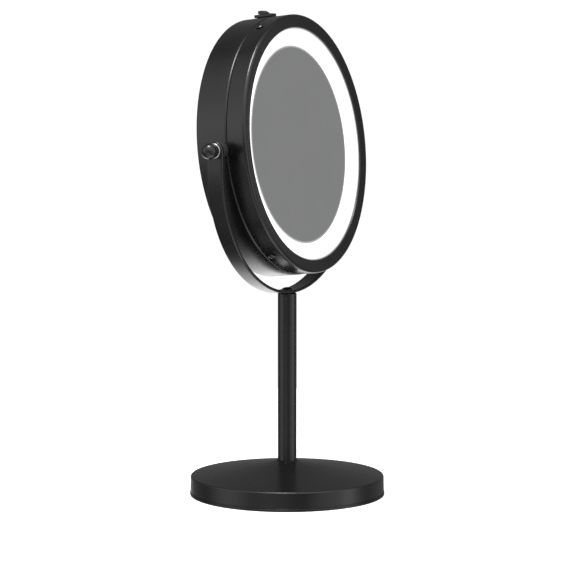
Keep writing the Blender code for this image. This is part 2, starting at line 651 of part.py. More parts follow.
def make_switch(materials, head):
    rear, front = switch_slot()
    low = (-SWITCH_HALF_WIDTH, REAR_SHELL_RADIUS + GAP, SWITCH_REAR)
    plate = add_object("switch_plate", box(low, (SWITCH_HALF_WIDTH, SWITCH_TOP, SWITCH_FRONT)),
                       materials["black_plastic"], head)
    add_boolean(plate, box((-1.5 * MM, 80.0 * MM, rear), (1.5 * MM, 100.0 * MM, front)))
    low = (-3.5 * MM, 80.5 * MM, rear - 3.0 * MM)
    body = add_object("switch_body", box(low, (3.5 * MM, 85.6 * MM, front + 2.0 * MM)),
                      materials["black_plastic"], head)
    add_boolean(body, box((-1.5 * MM, 83.5 * MM, rear), (1.5 * MM, 90.0 * MM, front)))
    make_switch_knob(materials, head)


def make_switch_knob(materials, head):
    """Wedge-shaped slider: high at the back, sloping to the front, on a neck through the slot."""
    bottom = SWITCH_TOP + GAP
    peak = SWITCH_TOP + 2.6 * MM
    side_view = [
        (SLIDER_REAR, bottom), (SLIDER_REAR, peak - 0.4 * MM), (SLIDER_REAR + 0.4 * MM, peak),
        (SLIDER_REAR + 2.9 * MM, peak), (SLIDER_REAR + 5.7 * MM, bottom + 0.7 * MM),
        (SLIDER_REAR + 5.7 * MM, bottom),
    ]
    half = 3.0 * MM
    shape = bmesh.new()
    left = [shape.verts.new((-half, height, depth)) for depth, height in side_view]
    right = [shape.verts.new((half, height, depth)) for depth, height in side_view]
    shape.faces.new(left)
    shape.faces.new(right)
    for k in range(len(left)):
        nxt = (k + 1) % len(left)
        shape.faces.new((left[k], left[nxt], right[nxt], right[k]))
    knob = add_object("switch_knob", shape, materials["black_plastic"], head)
    neck_low = (-1.1 * MM, 84.0 * MM, SLIDER_NECK_REAR)
    neck_high = (1.1 * MM, bottom + 0.5 * MM, SLIDER_NECK_REAR + SLIDER_NECK_LENGTH)
    add_boolean(knob, box(neck_low, neck_high), "UNION")


# ---------------------------------------------------------------- leads

def smooth_route(points, per_span):
    """Catmull-Rom curve through the route's points."""
    points = [Vector(point) for point in points]
    padded = [2.0 * points[0] - points[1]] + points + [2.0 * points[-1] - points[-2]]
    route = []
    for a, b, c, d in zip(padded, padded[1:], padded[2:], padded[3:]):
        for k in range(per_span):
            t = k / per_span
            place = 2.0 * b + (c - a) * t + (2.0 * a - 5.0 * b + 4.0 * c - d) * t ** 2
            route.append((place + (3.0 * b - a - 3.0 * c + d) * t ** 3) / 2.0)
    return route + [points[-1]]


def make_lead(name, points, material, head):
    curve = bpy.data.curves.new(name, "CURVE")
    curve.dimensions = "3D"
    curve.bevel_depth = LEAD_RADIUS
    curve.bevel_resolution = 1
    curve.use_fill_caps = True
    route = smooth_route([Vector(point) * MM for point in points], 3)
    spline = curve.splines.new("POLY")
    spline.points.add(len(route) - 1)
    for point, place in zip(spline.points, route):
        point.co = (*place, 1.0)
    curve.materials.append(material)
    obj = bpy.data.objects.new(name, curve)
    bpy.context.scene.collection.objects.link(obj)
    obj.parent = head


def make_leads(materials, head):
    """Battery to switch, switch to board and board to battery. Points are in millimetres."""
    row = cell_row(CELL_COUNT - 1) / MM
    depth = CELL_DEPTH / MM
    start = TRAY_HALF_LENGTH / MM
    (switched_x, switched_y), (return_x, return_y) = [(x / MM, y / MM) for x, y in LEAD_PASSAGES]
    plus = [
        (start, row, depth), (start + 2.0, row, depth), (start + 4.0, row, depth),
        (35.0, 26.0, -5.0), (27.0, 56.0, -7.0),
        (10.0, 72.0, -7.5), (2.0, 76.5, -7.5), (2.0, 80.2, -7.5),
    ]
    switched = [
        (-2.0, 80.2, -7.5), (-2.0, 77.5, -7.3), (-9.0, 73.0, -4.5), (switched_x, switched_y, -1.2),
        (switched_x, switched_y, 0.6), (switched_x, switched_y, 2.8),
    ]
    back = [
        (-start, -row, depth), (-start - 2.0, -row, depth), (-start - 4.0, -row, depth),
        (-45.0, -22.0, -3.0),
        (return_x, return_y, -1.5), (return_x, return_y, 0.6), (return_x, return_y, 2.8),
    ]
    make_lead("lead_plus", plus, materials["red_wire"], head)
    make_lead("lead_switched", switched, materials["red_wire"], head)
    make_lead("lead_return", back, materials["black_wire"], head)


# ---------------------------------------------------------------- assembly

def make_head(materials):
    """Everything that tilts. The head's frame has Z along its axis, towards the lit side."""
    head = add_empty("head_axis", (0.0, 0.0, PIVOT_HEIGHT), (math.pi / 2.0 - HEAD_TILT, 0.0, 0.0))
    make_rear_shell(materials, head)
    make_front_shell(materials, head)
    make_band_screws(materials, head)
    make_light_ring(materials, head)
    make_reflector_tray(materials, head)
    make_led_board(materials, head)
    make_front_mirror(materials, head)
    make_rear_cover(materials, head)
    make_battery_tray(materials, head)
    make_tray_screws(materials, head)
    make_cells(materials, head)
    make_contacts(materials, head)
    make_switch(materials, head)
    make_leads(materials, head)
    for side in (-1, 1):
        make_pivot(side, materials, head)


def main():
    clear_scene()
    materials = make_materials()
    make_base(materials)
    make_stem(materials)
    make_yoke(materials)
    make_head(materials)


main()
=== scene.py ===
"""Looks of the double-sided lit pedestal mirror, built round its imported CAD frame.

Every piece that shows is rebuilt here with fine edges and a procedural material, and rides on the
same CAD body as the node it stands for. Parts deep inside keep their CAD mesh and get a material.
Units are metres. "Depth" runs along the head's own axis: 0 is the pivot axis, and positive is
towards the lit side.
"""

import json
import math

import bmesh
import bpy
from mathutils import Matrix, Vector

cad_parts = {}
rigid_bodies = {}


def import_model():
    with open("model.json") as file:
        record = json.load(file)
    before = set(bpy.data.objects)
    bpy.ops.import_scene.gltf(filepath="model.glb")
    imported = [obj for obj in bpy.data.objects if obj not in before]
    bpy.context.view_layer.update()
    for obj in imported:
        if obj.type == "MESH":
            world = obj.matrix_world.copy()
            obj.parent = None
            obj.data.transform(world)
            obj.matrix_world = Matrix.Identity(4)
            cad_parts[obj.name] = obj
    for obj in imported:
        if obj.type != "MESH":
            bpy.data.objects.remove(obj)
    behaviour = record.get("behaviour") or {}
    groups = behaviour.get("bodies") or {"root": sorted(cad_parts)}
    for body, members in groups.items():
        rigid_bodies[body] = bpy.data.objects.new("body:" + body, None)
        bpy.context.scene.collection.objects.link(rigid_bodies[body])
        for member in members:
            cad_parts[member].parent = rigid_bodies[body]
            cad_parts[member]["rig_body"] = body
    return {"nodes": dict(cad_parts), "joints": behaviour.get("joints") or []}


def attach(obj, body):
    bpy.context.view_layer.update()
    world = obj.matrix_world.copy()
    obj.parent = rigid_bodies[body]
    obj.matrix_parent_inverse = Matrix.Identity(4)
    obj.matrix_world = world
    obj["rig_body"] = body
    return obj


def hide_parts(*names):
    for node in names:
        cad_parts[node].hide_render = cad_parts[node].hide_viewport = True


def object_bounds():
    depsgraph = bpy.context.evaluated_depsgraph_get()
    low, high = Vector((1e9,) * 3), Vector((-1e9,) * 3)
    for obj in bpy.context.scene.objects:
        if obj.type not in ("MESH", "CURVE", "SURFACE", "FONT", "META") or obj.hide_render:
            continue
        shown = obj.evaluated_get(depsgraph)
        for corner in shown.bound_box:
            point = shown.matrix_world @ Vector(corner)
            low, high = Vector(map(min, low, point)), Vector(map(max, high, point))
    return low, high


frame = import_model()
cad_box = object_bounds()

MM = 0.001
JOINTS = {joint["name"]: joint for joint in frame["joints"]}
PIVOT = Vector(JOINTS["head_tilt"]["pos_m"])
FORWARD = Vector(JOINTS["switch_slide"]["axis"])            # the way the lit side looks
TILT = math.asin(FORWARD.z)
# The head's frame has X along the pivot axis, Y up in the disc's plane and Z along its depth
HEAD = Matrix.Translation(PIVOT) @ Matrix.Rotation(math.pi / 2.0 - TILT, 4, "X")
# On top of the rim, Z points out of the rim and Y to the rear
RIM_TOP = HEAD @ Matrix.Rotation(-math.pi / 2.0, 4, "X")

# Stand
BASE_RADIUS = 66.9 * MM
BASE_RIM_RADIUS = 66.4 * MM
BASE_RIM_HEIGHT = 13.0 * MM
CONE_TOP = 23.0 * MM
PAD_RADIUS = 64.6 * MM
PAD_THICKNESS = 1.2 * MM
PAD_GROOVES = (60.0, 56.0, 52.0, 30.0, 26.0)    # radii in millimetres
STEM_RADIUS = 6.45 * MM
STEM_WALL = 1.0 * MM
STEM_BOTTOM = 16.9 * MM
STEM_TOP = 138.75 * MM
YOKE_HALF_SPAN = 99.3 * MM
YOKE_BOTTOM = 138.85 * MM
YOKE_ARC_HEIGHT = 229.2 * MM
STRAP_THICKNESS = 2.1 * MM
STRAP_HALF_WIDTH = 5.8 * MM
YOKE_SCREW_TIP = 127.0 * MM
YOKE_SCREW_RADIUS = 3.7 * MM
YOKE_SCREW_RISE = 1.5 * MM

# Pivots
SPACER_RADIUS = 4.5 * MM
SPACER_END = 95.9 * MM
WASHER_RADIUS = 6.2 * MM
WASHER_THICKNESS = 1.0 * MM
FLANGE_RADIUS = 5.05 * MM
FLANGE_THICKNESS = 1.5 * MM
KNOB_NECK = 4.0 * MM
KNOB_BALL = 5.2 * MM
KNOB_CENTRE = 6.0 * MM
KNOB_BORE_DEPTH = 5.8 * MM

# Head
REAR_RADIUS = 87.75 * MM
FRONT_RADIUS = 87.5 * MM
REAR_FACE = -19.7 * MM
SHELL_JOINT = 3.2 * MM
FRONT_FACE = 17.0 * MM
SHELL_WALL = 1.5 * MM
BEZEL_INNER = 78.6 * MM
BEZEL_DISH = 1.3 * MM
BEZEL_LIP = 0.8 * MM
MIRROR_RADIUS = 67.5 * MM
MIRROR_FACE = 9.9 * MM
MIRROR_GLASS = 3.33 * MM
COVER_RADIUS = 78.2 * MM
COVER_OPENING = 73.0 * MM
COVER_FACE = -19.5 * MM
GLASS_RADIUS = 75.9 * MM
GLASS_RIM = -17.8 * MM
GLASS_SAG = 3.4 * MM
BAND_SCREW_ANGLES = [math.radians(25.0 + 120.0 * k) for k in range(3)]
BAND_SCREW_DEPTH = 7.7 * MM
BAND_SCREW_RADIUS = 2.5 * MM
BAND_SCREW_RISE = 1.3 * MM
SCREW_SHANK = 1.25 * MM
SCREW_HOLE = 1.55 * MM
SKIRT_END = 11.5 * MM                # front edge of the rear shell's inner skirt
TRAY_OUTER = 83.7 * MM               # white dish behind the light ring
DISH_INNER = 64.0 * MM
DISH_THICKNESS = 1.2 * MM
BACKING_RADIUS = 76.3 * MM
BACKING_FACE = -11.5 * MM
GAP = 0.3 * MM
BORE = 2.8 * MM

# Switch, with the slider at its rear end
SWITCH_FRONT = -0.9 * MM
SWITCH_REAR = -14.0 * MM
SWITCH_TOP = 90.0 * MM
SWITCH_HALF_WIDTH = 4.5 * MM
SLIDER_REAR = -11.2 * MM
SLIDER_PEAK = 92.6 * MM
SLIDER_LENGTH = 5.7 * MM
SLIDER_HALF_WIDTH = 3.0 * MM
SLOT_REAR = -10.1 * MM
SLOT_FRONT = -4.0 * MM

# Battery bay
CELL_RADIUS = 5.25 * MM
CELL_BODY = 43.3 * MM
CELL_LENGTH = 44.5 * MM
CELL_PITCH = 11.4 * MM
CELL_DEPTH = -3.2 * MM
CELL_COUNT = 3
PLATE = 25.3 * MM                    # inner face of the contact plates
TRAY_HALF_LENGTH = 26.0 * MM
TRAY_HALF_WIDTH = 17.5 * MM
TRAY_WALL = 1.4 * MM
TRAY_BACK = 3.9 * MM
TRAY_FLOOR = 2.4 * MM
TRAY_RIM = -9.2 * MM
TRAY_SCREW_OFFSET = 32.0 * MM
TRAY_SCREW_RADIUS = 2.6 * MM
LEAD_RADIUS = 0.6 * MM
LEAD_HOLES = ((-15.0, 69.0), (-61.0, -35.0))    # in millimetres, where two leads pass to the LED board
LEAD_DEPTH = -7.5                    # in millimetres, of the leads beside the switch

LED_COUNT = 18.0                     # bright spots round the light ring

LARGE_STEPS = 240                    # round the head and the base
MIDDLE_STEPS = 96                    # round the stem and the knobs
SMALL_STEPS = 64                     # round washers, cells and the yoke's screw
SCREW_STEPS = 48                     # round small screws and bores
HOLE_STEPS = 24                      # round screw holes
ARC_STEPS = 6                        # along one rounded edge


# ---------------------------------------------------------------- meshes

def rounded(corners):
    """Turn corners (x, y) or (x, y, radius) of a closed outline into points, with arcs."""
    points = []
    count = len(corners)
    for index, corner in enumerate(corners):
        here = Vector(corner[:2])
        if len(corner) == 2:
            points.append(here)
            continue
        before = (Vector(corners[index - 1][:2]) - here).normalized()
        after = (Vector(corners[(index + 1) % count][:2]) - here).normalized()
        half_angle = before.angle(after) / 2.0
        reach = corner[2] / math.tan(half_angle)
        centre = here + (before + after).normalized() * (corner[2] / math.sin(half_angle))
        start = here + before * reach - centre
        end = here + after * reach - centre
        for step in range(ARC_STEPS + 1):
            spoke = start.lerp(end, step / ARC_STEPS).normalized() * corner[2]
            points.append(centre + spoke)
    return points


def add_faces_between(shape, ring, following):
    """Join two rings of vertices. A ring that repeats one vertex is a pole."""
    for k in range(len(ring)):
        nxt = (k + 1) % len(ring)
        face = list(dict.fromkeys([ring[k], ring[nxt], following[nxt], following[k]]))
        if len(face) > 2:
            shape.faces.new(face)


def turned(corners, steps=LARGE_STEPS):
    """Spin a closed outline of (radius, z) about Z. Points at radius 0 close the middle."""
    shape = bmesh.new()
    rings = []
    turns = [2.0 * math.pi * k / steps for k in range(steps)]
    for radius, height in rounded(corners):
        if radius < 1e-7:
            rings.append([shape.verts.new((0.0, 0.0, height))] * steps)
            continue
        circle = [(radius * math.cos(a), radius * math.sin(a), height) for a in turns]
        rings.append([shape.verts.new(point) for point in circle])
    for index, ring in enumerate(rings):
        add_faces_between(shape, ring, rings[(index + 1) % len(rings)])
    return shape


def lofted(outlines):
    """Join outlines of equal length one after another, and close both ends."""
    shape = bmesh.new()
    rings = [[shape.verts.new(point) for point in outline] for outline in outlines]
    for ring, following in zip(rings, rings[1:]):
        add_faces_between(shape, ring, following)
    shape.faces.new(rings[0])
    shape.faces.new(rings[-1])
    return shape


def rectangle(half_x, half_y, corner, height, centre=(0.0, 0.0)):
    """Outline of a rectangle with rounded corners."""
    corners = [(half_x, half_y, corner), (-half_x, half_y, corner)]
    corners += [(-half_x, -half_y, corner), (half_x, -half_y, corner)]
    return [(x + centre[0], y + centre[1], height) for x, y in rounded(corners)]


def block(half_x, half_y, low, high, corner, ease, centre=(0.0, 0.0)):
    """Box with rounded corners whose top and bottom edges are eased."""
    outlines = [rectangle(half_x - ease, half_y - ease, corner - ease * 0.9, low, centre)]
    sides = ((0.3, low + ease * 0.3), (0.0, low + ease), (0.0, high - ease), (0.3, high - ease * 0.3))
    for share, height in sides:
        inset = ease * share
        outlines.append(rectangle(half_x - inset, half_y - inset, corner - inset, height, centre))
    outlines.append(rectangle(half_x - ease, half_y - ease, corner - ease * 0.9, high, centre))
    return lofted(outlines)


def extruded(outline, low, high):
    """Prism along X of an outline of (y, z) points."""
    shape = bmesh.new()
    rings = [[shape.verts.new((x, y, z)) for y, z in outline] for x in (low, high)]
    add_faces_between(shape, *rings)
    for ring in rings:
        shape.faces.new(ring)
    return shape


def rod(start, end, radius, steps):
    """Cutter for a round hole."""
    shape = bmesh.new()
    start = Vector(start)
    end = Vector(end)
    turn = (end - start).to_track_quat("Z", "Y").to_matrix().to_4x4()
    place = Matrix.Translation((start + end) / 2.0) @ turn
    bmesh.ops.create_cone(shape, cap_ends=True, segments=steps, radius1=radius, radius2=radius,
                          depth=(end - start).length, matrix=place)
    return shape


def cross_recess(arm, width, top, depth):
    """Cutter for a cross drive: a plus sign that narrows towards its floor."""
    outlines = []
    for height, scale in ((top + depth, 1.15), (top - depth, 0.7)):
        half = width * scale / 2.0
        reach = arm * scale
        plus = [(reach, -half), (reach, half), (half, half)]
        plus += [(half, reach), (-half, reach), (-half, half)]
        plus += [(-x, -y) for x, y in plus]
        outlines.append([(x, y, height) for x, y in plus])
    return lofted(outlines)


def temporary(shape):
    """Object for a Boolean, which is removed after it."""
    mesh = bpy.data.meshes.new("temporary")
    bmesh.ops.recalc_face_normals(shape, faces=shape.faces)
    shape.to_mesh(mesh)
    shape.free()
    obj = bpy.data.objects.new("temporary", mesh)
    bpy.context.scene.collection.objects.link(obj)
    return obj


def combined(shape, others, operation="DIFFERENCE"):
    """Cut the other shapes out of a shape, or join them on, and return the result."""
    target = temporary(shape)
    helpers = [temporary(other) for other in others]
    for helper in helpers:
        modifier = target.modifiers.new("combine", "BOOLEAN")
        modifier.operation = operation
        modifier.solver = "EXACT"
        modifier.object = helper
    result = bmesh.new()
    result.from_object(target, bpy.context.evaluated_depsgraph_get())
    for obj in [target, *helpers]:
        mesh = obj.data
        bpy.data.objects.remove(obj, do_unlink=True)
        bpy.data.meshes.remove(mesh)
    return result


def add_piece(node, shape, look, place=HEAD, sharp=32.0, bevel=0.0):
    """Make a piece from a bmesh. It stands for a CAD node and rides on that node's body."""
    bmesh.ops.remove_doubles(shape, verts=shape.verts, dist=1e-7)
    bmesh.ops.recalc_face_normals(shape, faces=shape.faces)
    mesh = bpy.data.meshes.new(f"fine_{node}")
    shape.to_mesh(mesh)
    shape.free()
    mesh.shade_smooth()
    mesh.set_sharp_from_angle(angle=math.radians(sharp))
    mesh.materials.append(LOOKS[look])
    obj = bpy.data.objects.new(f"fine_{node}", mesh)
    bpy.context.scene.collection.objects.link(obj)
    obj.matrix_world = place
    if bevel:
        edges = obj.modifiers.new("eased edges", "BEVEL")
        edges.width = bevel
        edges.segments = 3
        edges.limit_method = "ANGLE"
        edges.angle_limit = math.radians(sharp)
    normals = obj.modifiers.new("normals", "WEIGHTED_NORMAL")
    normals.keep_sharp = True
    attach(obj, frame["nodes"][node]["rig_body"])
    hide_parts(node)


# ---------------------------------------------------------------- materials

def new_material(name, **settings):
    """Material with a Principled shader. Settings name its inputs, with _ for a space."""
    material = bpy.data.materials.new(name)
    material.use_nodes = True
    tree = material.node_tree
    shader = tree.nodes["Principled BSDF"]
    for key, value in settings.items():
        shader.inputs[key.replace("_", " ")].default_value = value
    return material, tree, shader


def add_node(tree, kind, inputs=(), **settings):
    """Add a node. Inputs are (socket, value or output to link) pairs, settings its properties."""
    node = tree.nodes.new(kind)
    for key, value in settings.items():
        setattr(node, key, value)
    for key, value in inputs:
        if isinstance(value, bpy.types.NodeSocket):
            tree.links.new(value, node.inputs[key])
        else:
            node.inputs[key].default_value = value
    return node


def object_point(tree):
    return add_node(tree, "ShaderNodeTexCoord").outputs["Object"]


def noise(tree, point, scale, detail=2.0, roughness=0.5):
    node = add_node(tree, "ShaderNodeTexNoise", [
        ("Vector", point), ("Scale", scale), ("Detail", detail), ("Roughness", roughness)])
    return node.outputs["Fac"]


def math_node(tree, operation, first, second=0.0):
    return add_node(tree, "ShaderNodeMath", [(0, first), (1, second)], operation=operation).outputs[0]


def remap(tree, value, from_low, from_high, to_low, to_high, clamp=True):
    node = add_node(tree, "ShaderNodeMapRange", [
        ("Value", value), ("From Min", from_low), ("From Max", from_high),
        ("To Min", to_low), ("To Max", to_high)], clamp=clamp)
    return node.outputs["Result"]


def ramp(tree, value, stops):
    """Colour ramp. Stops are (position, colour) pairs."""
    node = add_node(tree, "ShaderNodeValToRGB", [("Fac", value)])
    elements = node.color_ramp.elements
    while len(elements) < len(stops):
        elements.new(0.5)
    for element, (position, colour) in zip(elements, stops):
        element.position = position
        element.color = (*colour, 1.0)
    return node.outputs["Color"]


def mixed(tree, share, first, second):
    """An output's colour turning into a plain second colour as share goes from 0 to 1."""
    mix = add_node(tree, "ShaderNodeMix", [(0, share), (6, first), (7, (*second, 1.0))], data_type="RGBA")
    return mix.outputs[2]


def set_bump(tree, shader, height, strength, distance):
    bump = add_node(tree, "ShaderNodeBump", [
        ("Strength", strength), ("Distance", distance), ("Height", height)])
    tree.links.new(bump.outputs["Normal"], shader.inputs["Normal"])


def grained_finish(name, dark, light, rough, tone_scale, grains, strength, distance, **settings):
    """A finish whose tone, gloss and surface all vary.

    dark and light are the two ends of its colour, rough those of its roughness, and grains is a
    list of (noise scale per metre, share of the bump's height)."""
    material, tree, shader = new_material(name, **settings)
    point = object_point(tree)
    cloud = noise(tree, point, tone_scale, 3.0)
    tree.links.new(ramp(tree, cloud, [(0.3, dark), (0.7, light)]), shader.inputs["Base Color"])
    tree.links.new(remap(tree, cloud, 0.3, 0.7, *rough), shader.inputs["Roughness"])
    height = None
    for scale, share in grains:
        part = math_node(tree, "MULTIPLY", noise(tree, point, scale), share)
        height = part if height is None else math_node(tree, "ADD", height, part)
    set_bump(tree, shader, height, strength, distance)
    return material


def grey(value):
    return (value, value, value)


def make_paint():
    """Satin black powder coat: orange peel and a fine grit, with a painted highlight that lightens its sharp
    edges.
    """
    material, tree, shader = new_material("black_paint")
    point = object_point(tree)
    cloud = noise(tree, point, 55.0, 3.0)
    # Painted highlight: convex edges, picked out by pointiness, get a lighter base colour, and a lower
    # roughness as well.
    highlight_pointiness = add_node(tree, "ShaderNodeNewGeometry").outputs["Pointiness"]
    edge = remap(tree, highlight_pointiness, 0.53, 0.62, 0.0, 1.0)
    edge = math_node(tree, "MULTIPLY", edge, remap(tree, noise(tree, point, 260.0), 0.35, 0.65, 0.2, 1.0))
    body = ramp(tree, cloud, [(0.3, (0.0022, 0.0022, 0.0024)), (0.7, (0.0036, 0.0036, 0.0038))])
    tree.links.new(mixed(tree, edge, body, grey(0.009)), shader.inputs["Base Color"])
    rough = remap(tree, cloud, 0.3, 0.7, 0.24, 0.29)
    rough = math_node(tree, "SUBTRACT", rough, math_node(tree, "MULTIPLY", edge, 0.05))
    tree.links.new(rough, shader.inputs["Roughness"])
    peel = math_node(tree, "MULTIPLY", noise(tree, point, 750.0), 0.65)
    grit = math_node(tree, "MULTIPLY", noise(tree, point, 3800.0, 1.0), 0.35)
    set_bump(tree, shader, math_node(tree, "ADD", peel, grit), 0.06, 0.02 * MM)
    return material


def make_diffuser():
    """Opal ring lit from behind: brightest over each LED, with painted shade that dims its glow and darkens
    its base colour near the bezel.
    """
    material, tree, shader = new_material("opal_diffuser", Roughness=0.45)
    point = object_point(tree)
    axes = add_node(tree, "ShaderNodeSeparateXYZ", [("Vector", point)]).outputs
    angle = math_node(tree, "ARCTAN2", axes["Y"], axes["X"])
    spots = math_node(tree, "COSINE", math_node(tree, "MULTIPLY", angle, LED_COUNT))
    haze = remap(tree, noise(tree, point, 320.0), 0.3, 0.7, -0.03, 0.03)
    glow = math_node(tree, "ADD", remap(tree, spots, -1.0, 1.0, 1.02, 1.12), haze)
    radius = distance_from_axis(tree, point)
    # Painted shade under the bezel: it dims the glow and darkens the base colour over the opening's outer 1.6
    # mm.
    shade = remap(tree, radius, BEZEL_INNER - 1.6 * MM, BEZEL_INNER, 1.0, 0.15)
    tree.links.new(math_node(tree, "MULTIPLY", glow, shade), shader.inputs["Emission Strength"])
    tint = ramp(tree, noise(tree, point, 90.0), [(0.3, (0.985, 0.985, 1.0)), (0.7, (1.0, 1.0, 0.985))])
    tree.links.new(tint, shader.inputs["Emission Color"])
    tree.links.new(ramp(tree, shade, [(0.0, grey(0.02)), (1.0, grey(0.4))]), shader.inputs["Base Color"])
    set_bump(tree, shader, noise(tree, point, 2600.0), 0.15, 0.01 * MM)
    return material


def distance_from_axis(tree, point):
    """Distance from the piece's own Z axis."""
    flat = add_node(tree, "ShaderNodeVectorMath", [(0, point), (1, (1.0, 1.0, 0.0))], operation="MULTIPLY")
    length = add_node(tree, "ShaderNodeVectorMath", [(0, flat.outputs[0])], operation="LENGTH")
    return length.outputs["Value"]


def make_mirror(name, glowing_from=None, glowing_to=None):
    """Silvered glass, faintly clouded. Near its edge it may get painted glow, an emission that rises towards
    the rim.
    """
    material, tree, shader = new_material(name, Metallic=1.0, Roughness=0.0)
    point = object_point(tree)
    cloud = noise(tree, point, 38.0, 4.0, 0.6)
    tree.links.new(ramp(tree, cloud, [(0.35, (0.89, 0.895, 0.9)), (0.75, (0.86, 0.865, 0.87))]),
                   shader.inputs["Base Color"])
    if glowing_from is None:
        return material
    radius = distance_from_axis(tree, point)
    painted_glow = math_node(tree, "POWER", remap(tree, radius, glowing_from, glowing_to, 0.0, 0.8), 1.5)
    tree.links.new(painted_glow, shader.inputs["Emission Strength"])
    shader.inputs["Emission Color"].default_value = (1.0, 1.0, 1.0, 1.0)
    return material


def make_cell_wrap():
    """Printed sleeve of a cell, along its own Z: bare foot, dark body, copper end."""
    material, tree, shader = new_material("cell_wrap", Metallic=0.55)
    point = object_point(tree)
    along = add_node(tree, "ShaderNodeSeparateXYZ", [("Vector", point)]).outputs["Z"]
    share = remap(tree, along, 0.0, CELL_LENGTH, 0.0, 1.0)
    silver, black, copper = (0.62, 0.62, 0.6), (0.018, 0.018, 0.02), (0.45, 0.2, 0.07)
    bands = [
        (0.0, silver), (0.012, silver), (0.014, black), (0.68, black), (0.685, silver), (0.7, copper),
        (0.955, copper), (0.965, silver), (1.0, silver),
    ]
    tree.links.new(ramp(tree, share, bands), shader.inputs["Base Color"])
    tree.links.new(remap(tree, noise(tree, point, 400.0), 0.3, 0.7, 0.22, 0.32), shader.inputs["Roughness"])
    set_bump(tree, shader, noise(tree, point, 900.0), 0.1, 0.02 * MM)
    return material


def make_knob_paint():
    """Glossier black than the casing's, rubbed through to bright metal round the flange's rim."""
    material = grained_finish(
        "knob_paint", grey(0.003), grey(0.005), (0.23, 0.28), 300.0, [(1800.0, 1.0)], 0.05, 0.01 * MM)
    tree = material.node_tree
    shader = tree.nodes["Principled BSDF"]
    point = object_point(tree)
    along = add_node(tree, "ShaderNodeSeparateXYZ", [("Vector", point)]).outputs["Z"]
    rim = math_node(tree, "GREATER_THAN", distance_from_axis(tree, point), FLANGE_RADIUS - 0.55 * MM)
    flange = math_node(tree, "LESS_THAN", along, FLANGE_THICKNESS + 0.1 * MM)
    bare = math_node(tree, "MULTIPLY", rim, flange)
    patchy = remap(tree, noise(tree, point, 900.0), 0.3, 0.5, 0.75, 1.0)
    bare = math_node(tree, "MULTIPLY", bare, patchy)
    tree.links.new(bare, shader.inputs["Metallic"])
    paint = shader.inputs["Base Color"].links[0].from_socket
    tree.links.new(mixed(tree, bare, paint, (0.4, 0.4, 0.41)), shader.inputs["Base Color"])
    return material


def make_materials():
    black = (0.0085, 0.0085, 0.009)
    return {
        "black_paint": make_paint(),
        "opal_diffuser": make_diffuser(),
        "mirror_silver": make_mirror("mirror_silver"),
        # Painted glow on the outer 2.2 mm of the lit mirror.
        "lit_mirror": make_mirror("lit_mirror", MIRROR_RADIUS - 2.2 * MM, MIRROR_RADIUS),
        "cell_wrap": make_cell_wrap(),
        "knob_paint": make_knob_paint(),
        "black_plastic": grained_finish(
            "black_plastic", black, grey(0.013), (0.42, 0.52), 120.0, [(2600.0, 0.7), (5200.0, 0.3)], 0.35,
            0.02 * MM),
        "black_nylon": grained_finish(
            "black_nylon", grey(0.012), grey(0.018), (0.5, 0.6), 200.0, [(1500.0, 1.0)], 0.25, 0.03 * MM),
        "white_plastic": grained_finish(
            "white_plastic", grey(0.72), grey(0.8), (0.38, 0.46), 80.0, [(2200.0, 1.0)], 0.2, 0.02 * MM),
        "steel": grained_finish(
            "steel", grey(0.5), grey(0.62), (0.22, 0.38), 500.0, [(2400.0, 1.0)], 0.2, 0.02 * MM,
            Metallic=1.0),
        "brass": grained_finish(
            "brass", (0.6, 0.42, 0.17), (0.72, 0.52, 0.24), (0.22, 0.36), 300.0, [(1800.0, 1.0)], 0.2,
            0.02 * MM, Metallic=1.0),
        "cast_iron": grained_finish(
            "cast_iron", grey(0.05), grey(0.11), (0.6, 0.8), 90.0, [(500.0, 0.6), (1800.0, 0.4)], 0.6,
            0.2 * MM, Metallic=0.5),
        "rubber_pad": grained_finish(
            "rubber_pad", grey(0.011), grey(0.019), (0.75, 0.9), 160.0, [(900.0, 0.5), (3000.0, 0.5)], 0.5,
            0.06 * MM),
        "foam": grained_finish(
            "foam", grey(0.6), grey(0.72), (0.85, 0.95), 200.0, [(1400.0, 1.0)], 0.7, 0.2 * MM),
        "circuit_board": grained_finish(
            "circuit_board", (0.7, 0.73, 0.7), (0.8, 0.82, 0.8), (0.3, 0.4), 240.0, [(2000.0, 1.0)], 0.15,
            0.02 * MM),
        "red_wire": grained_finish(
            "red_wire", (0.42, 0.018, 0.012), (0.55, 0.03, 0.02), (0.3, 0.4), 300.0, [(1500.0, 1.0)], 0.1,
            0.02 * MM),
        "black_wire": grained_finish(
            "black_wire", grey(0.012), grey(0.02), (0.3, 0.4), 300.0, [(1500.0, 1.0)], 0.1, 0.02 * MM),
    }


# ---------------------------------------------------------------- stand

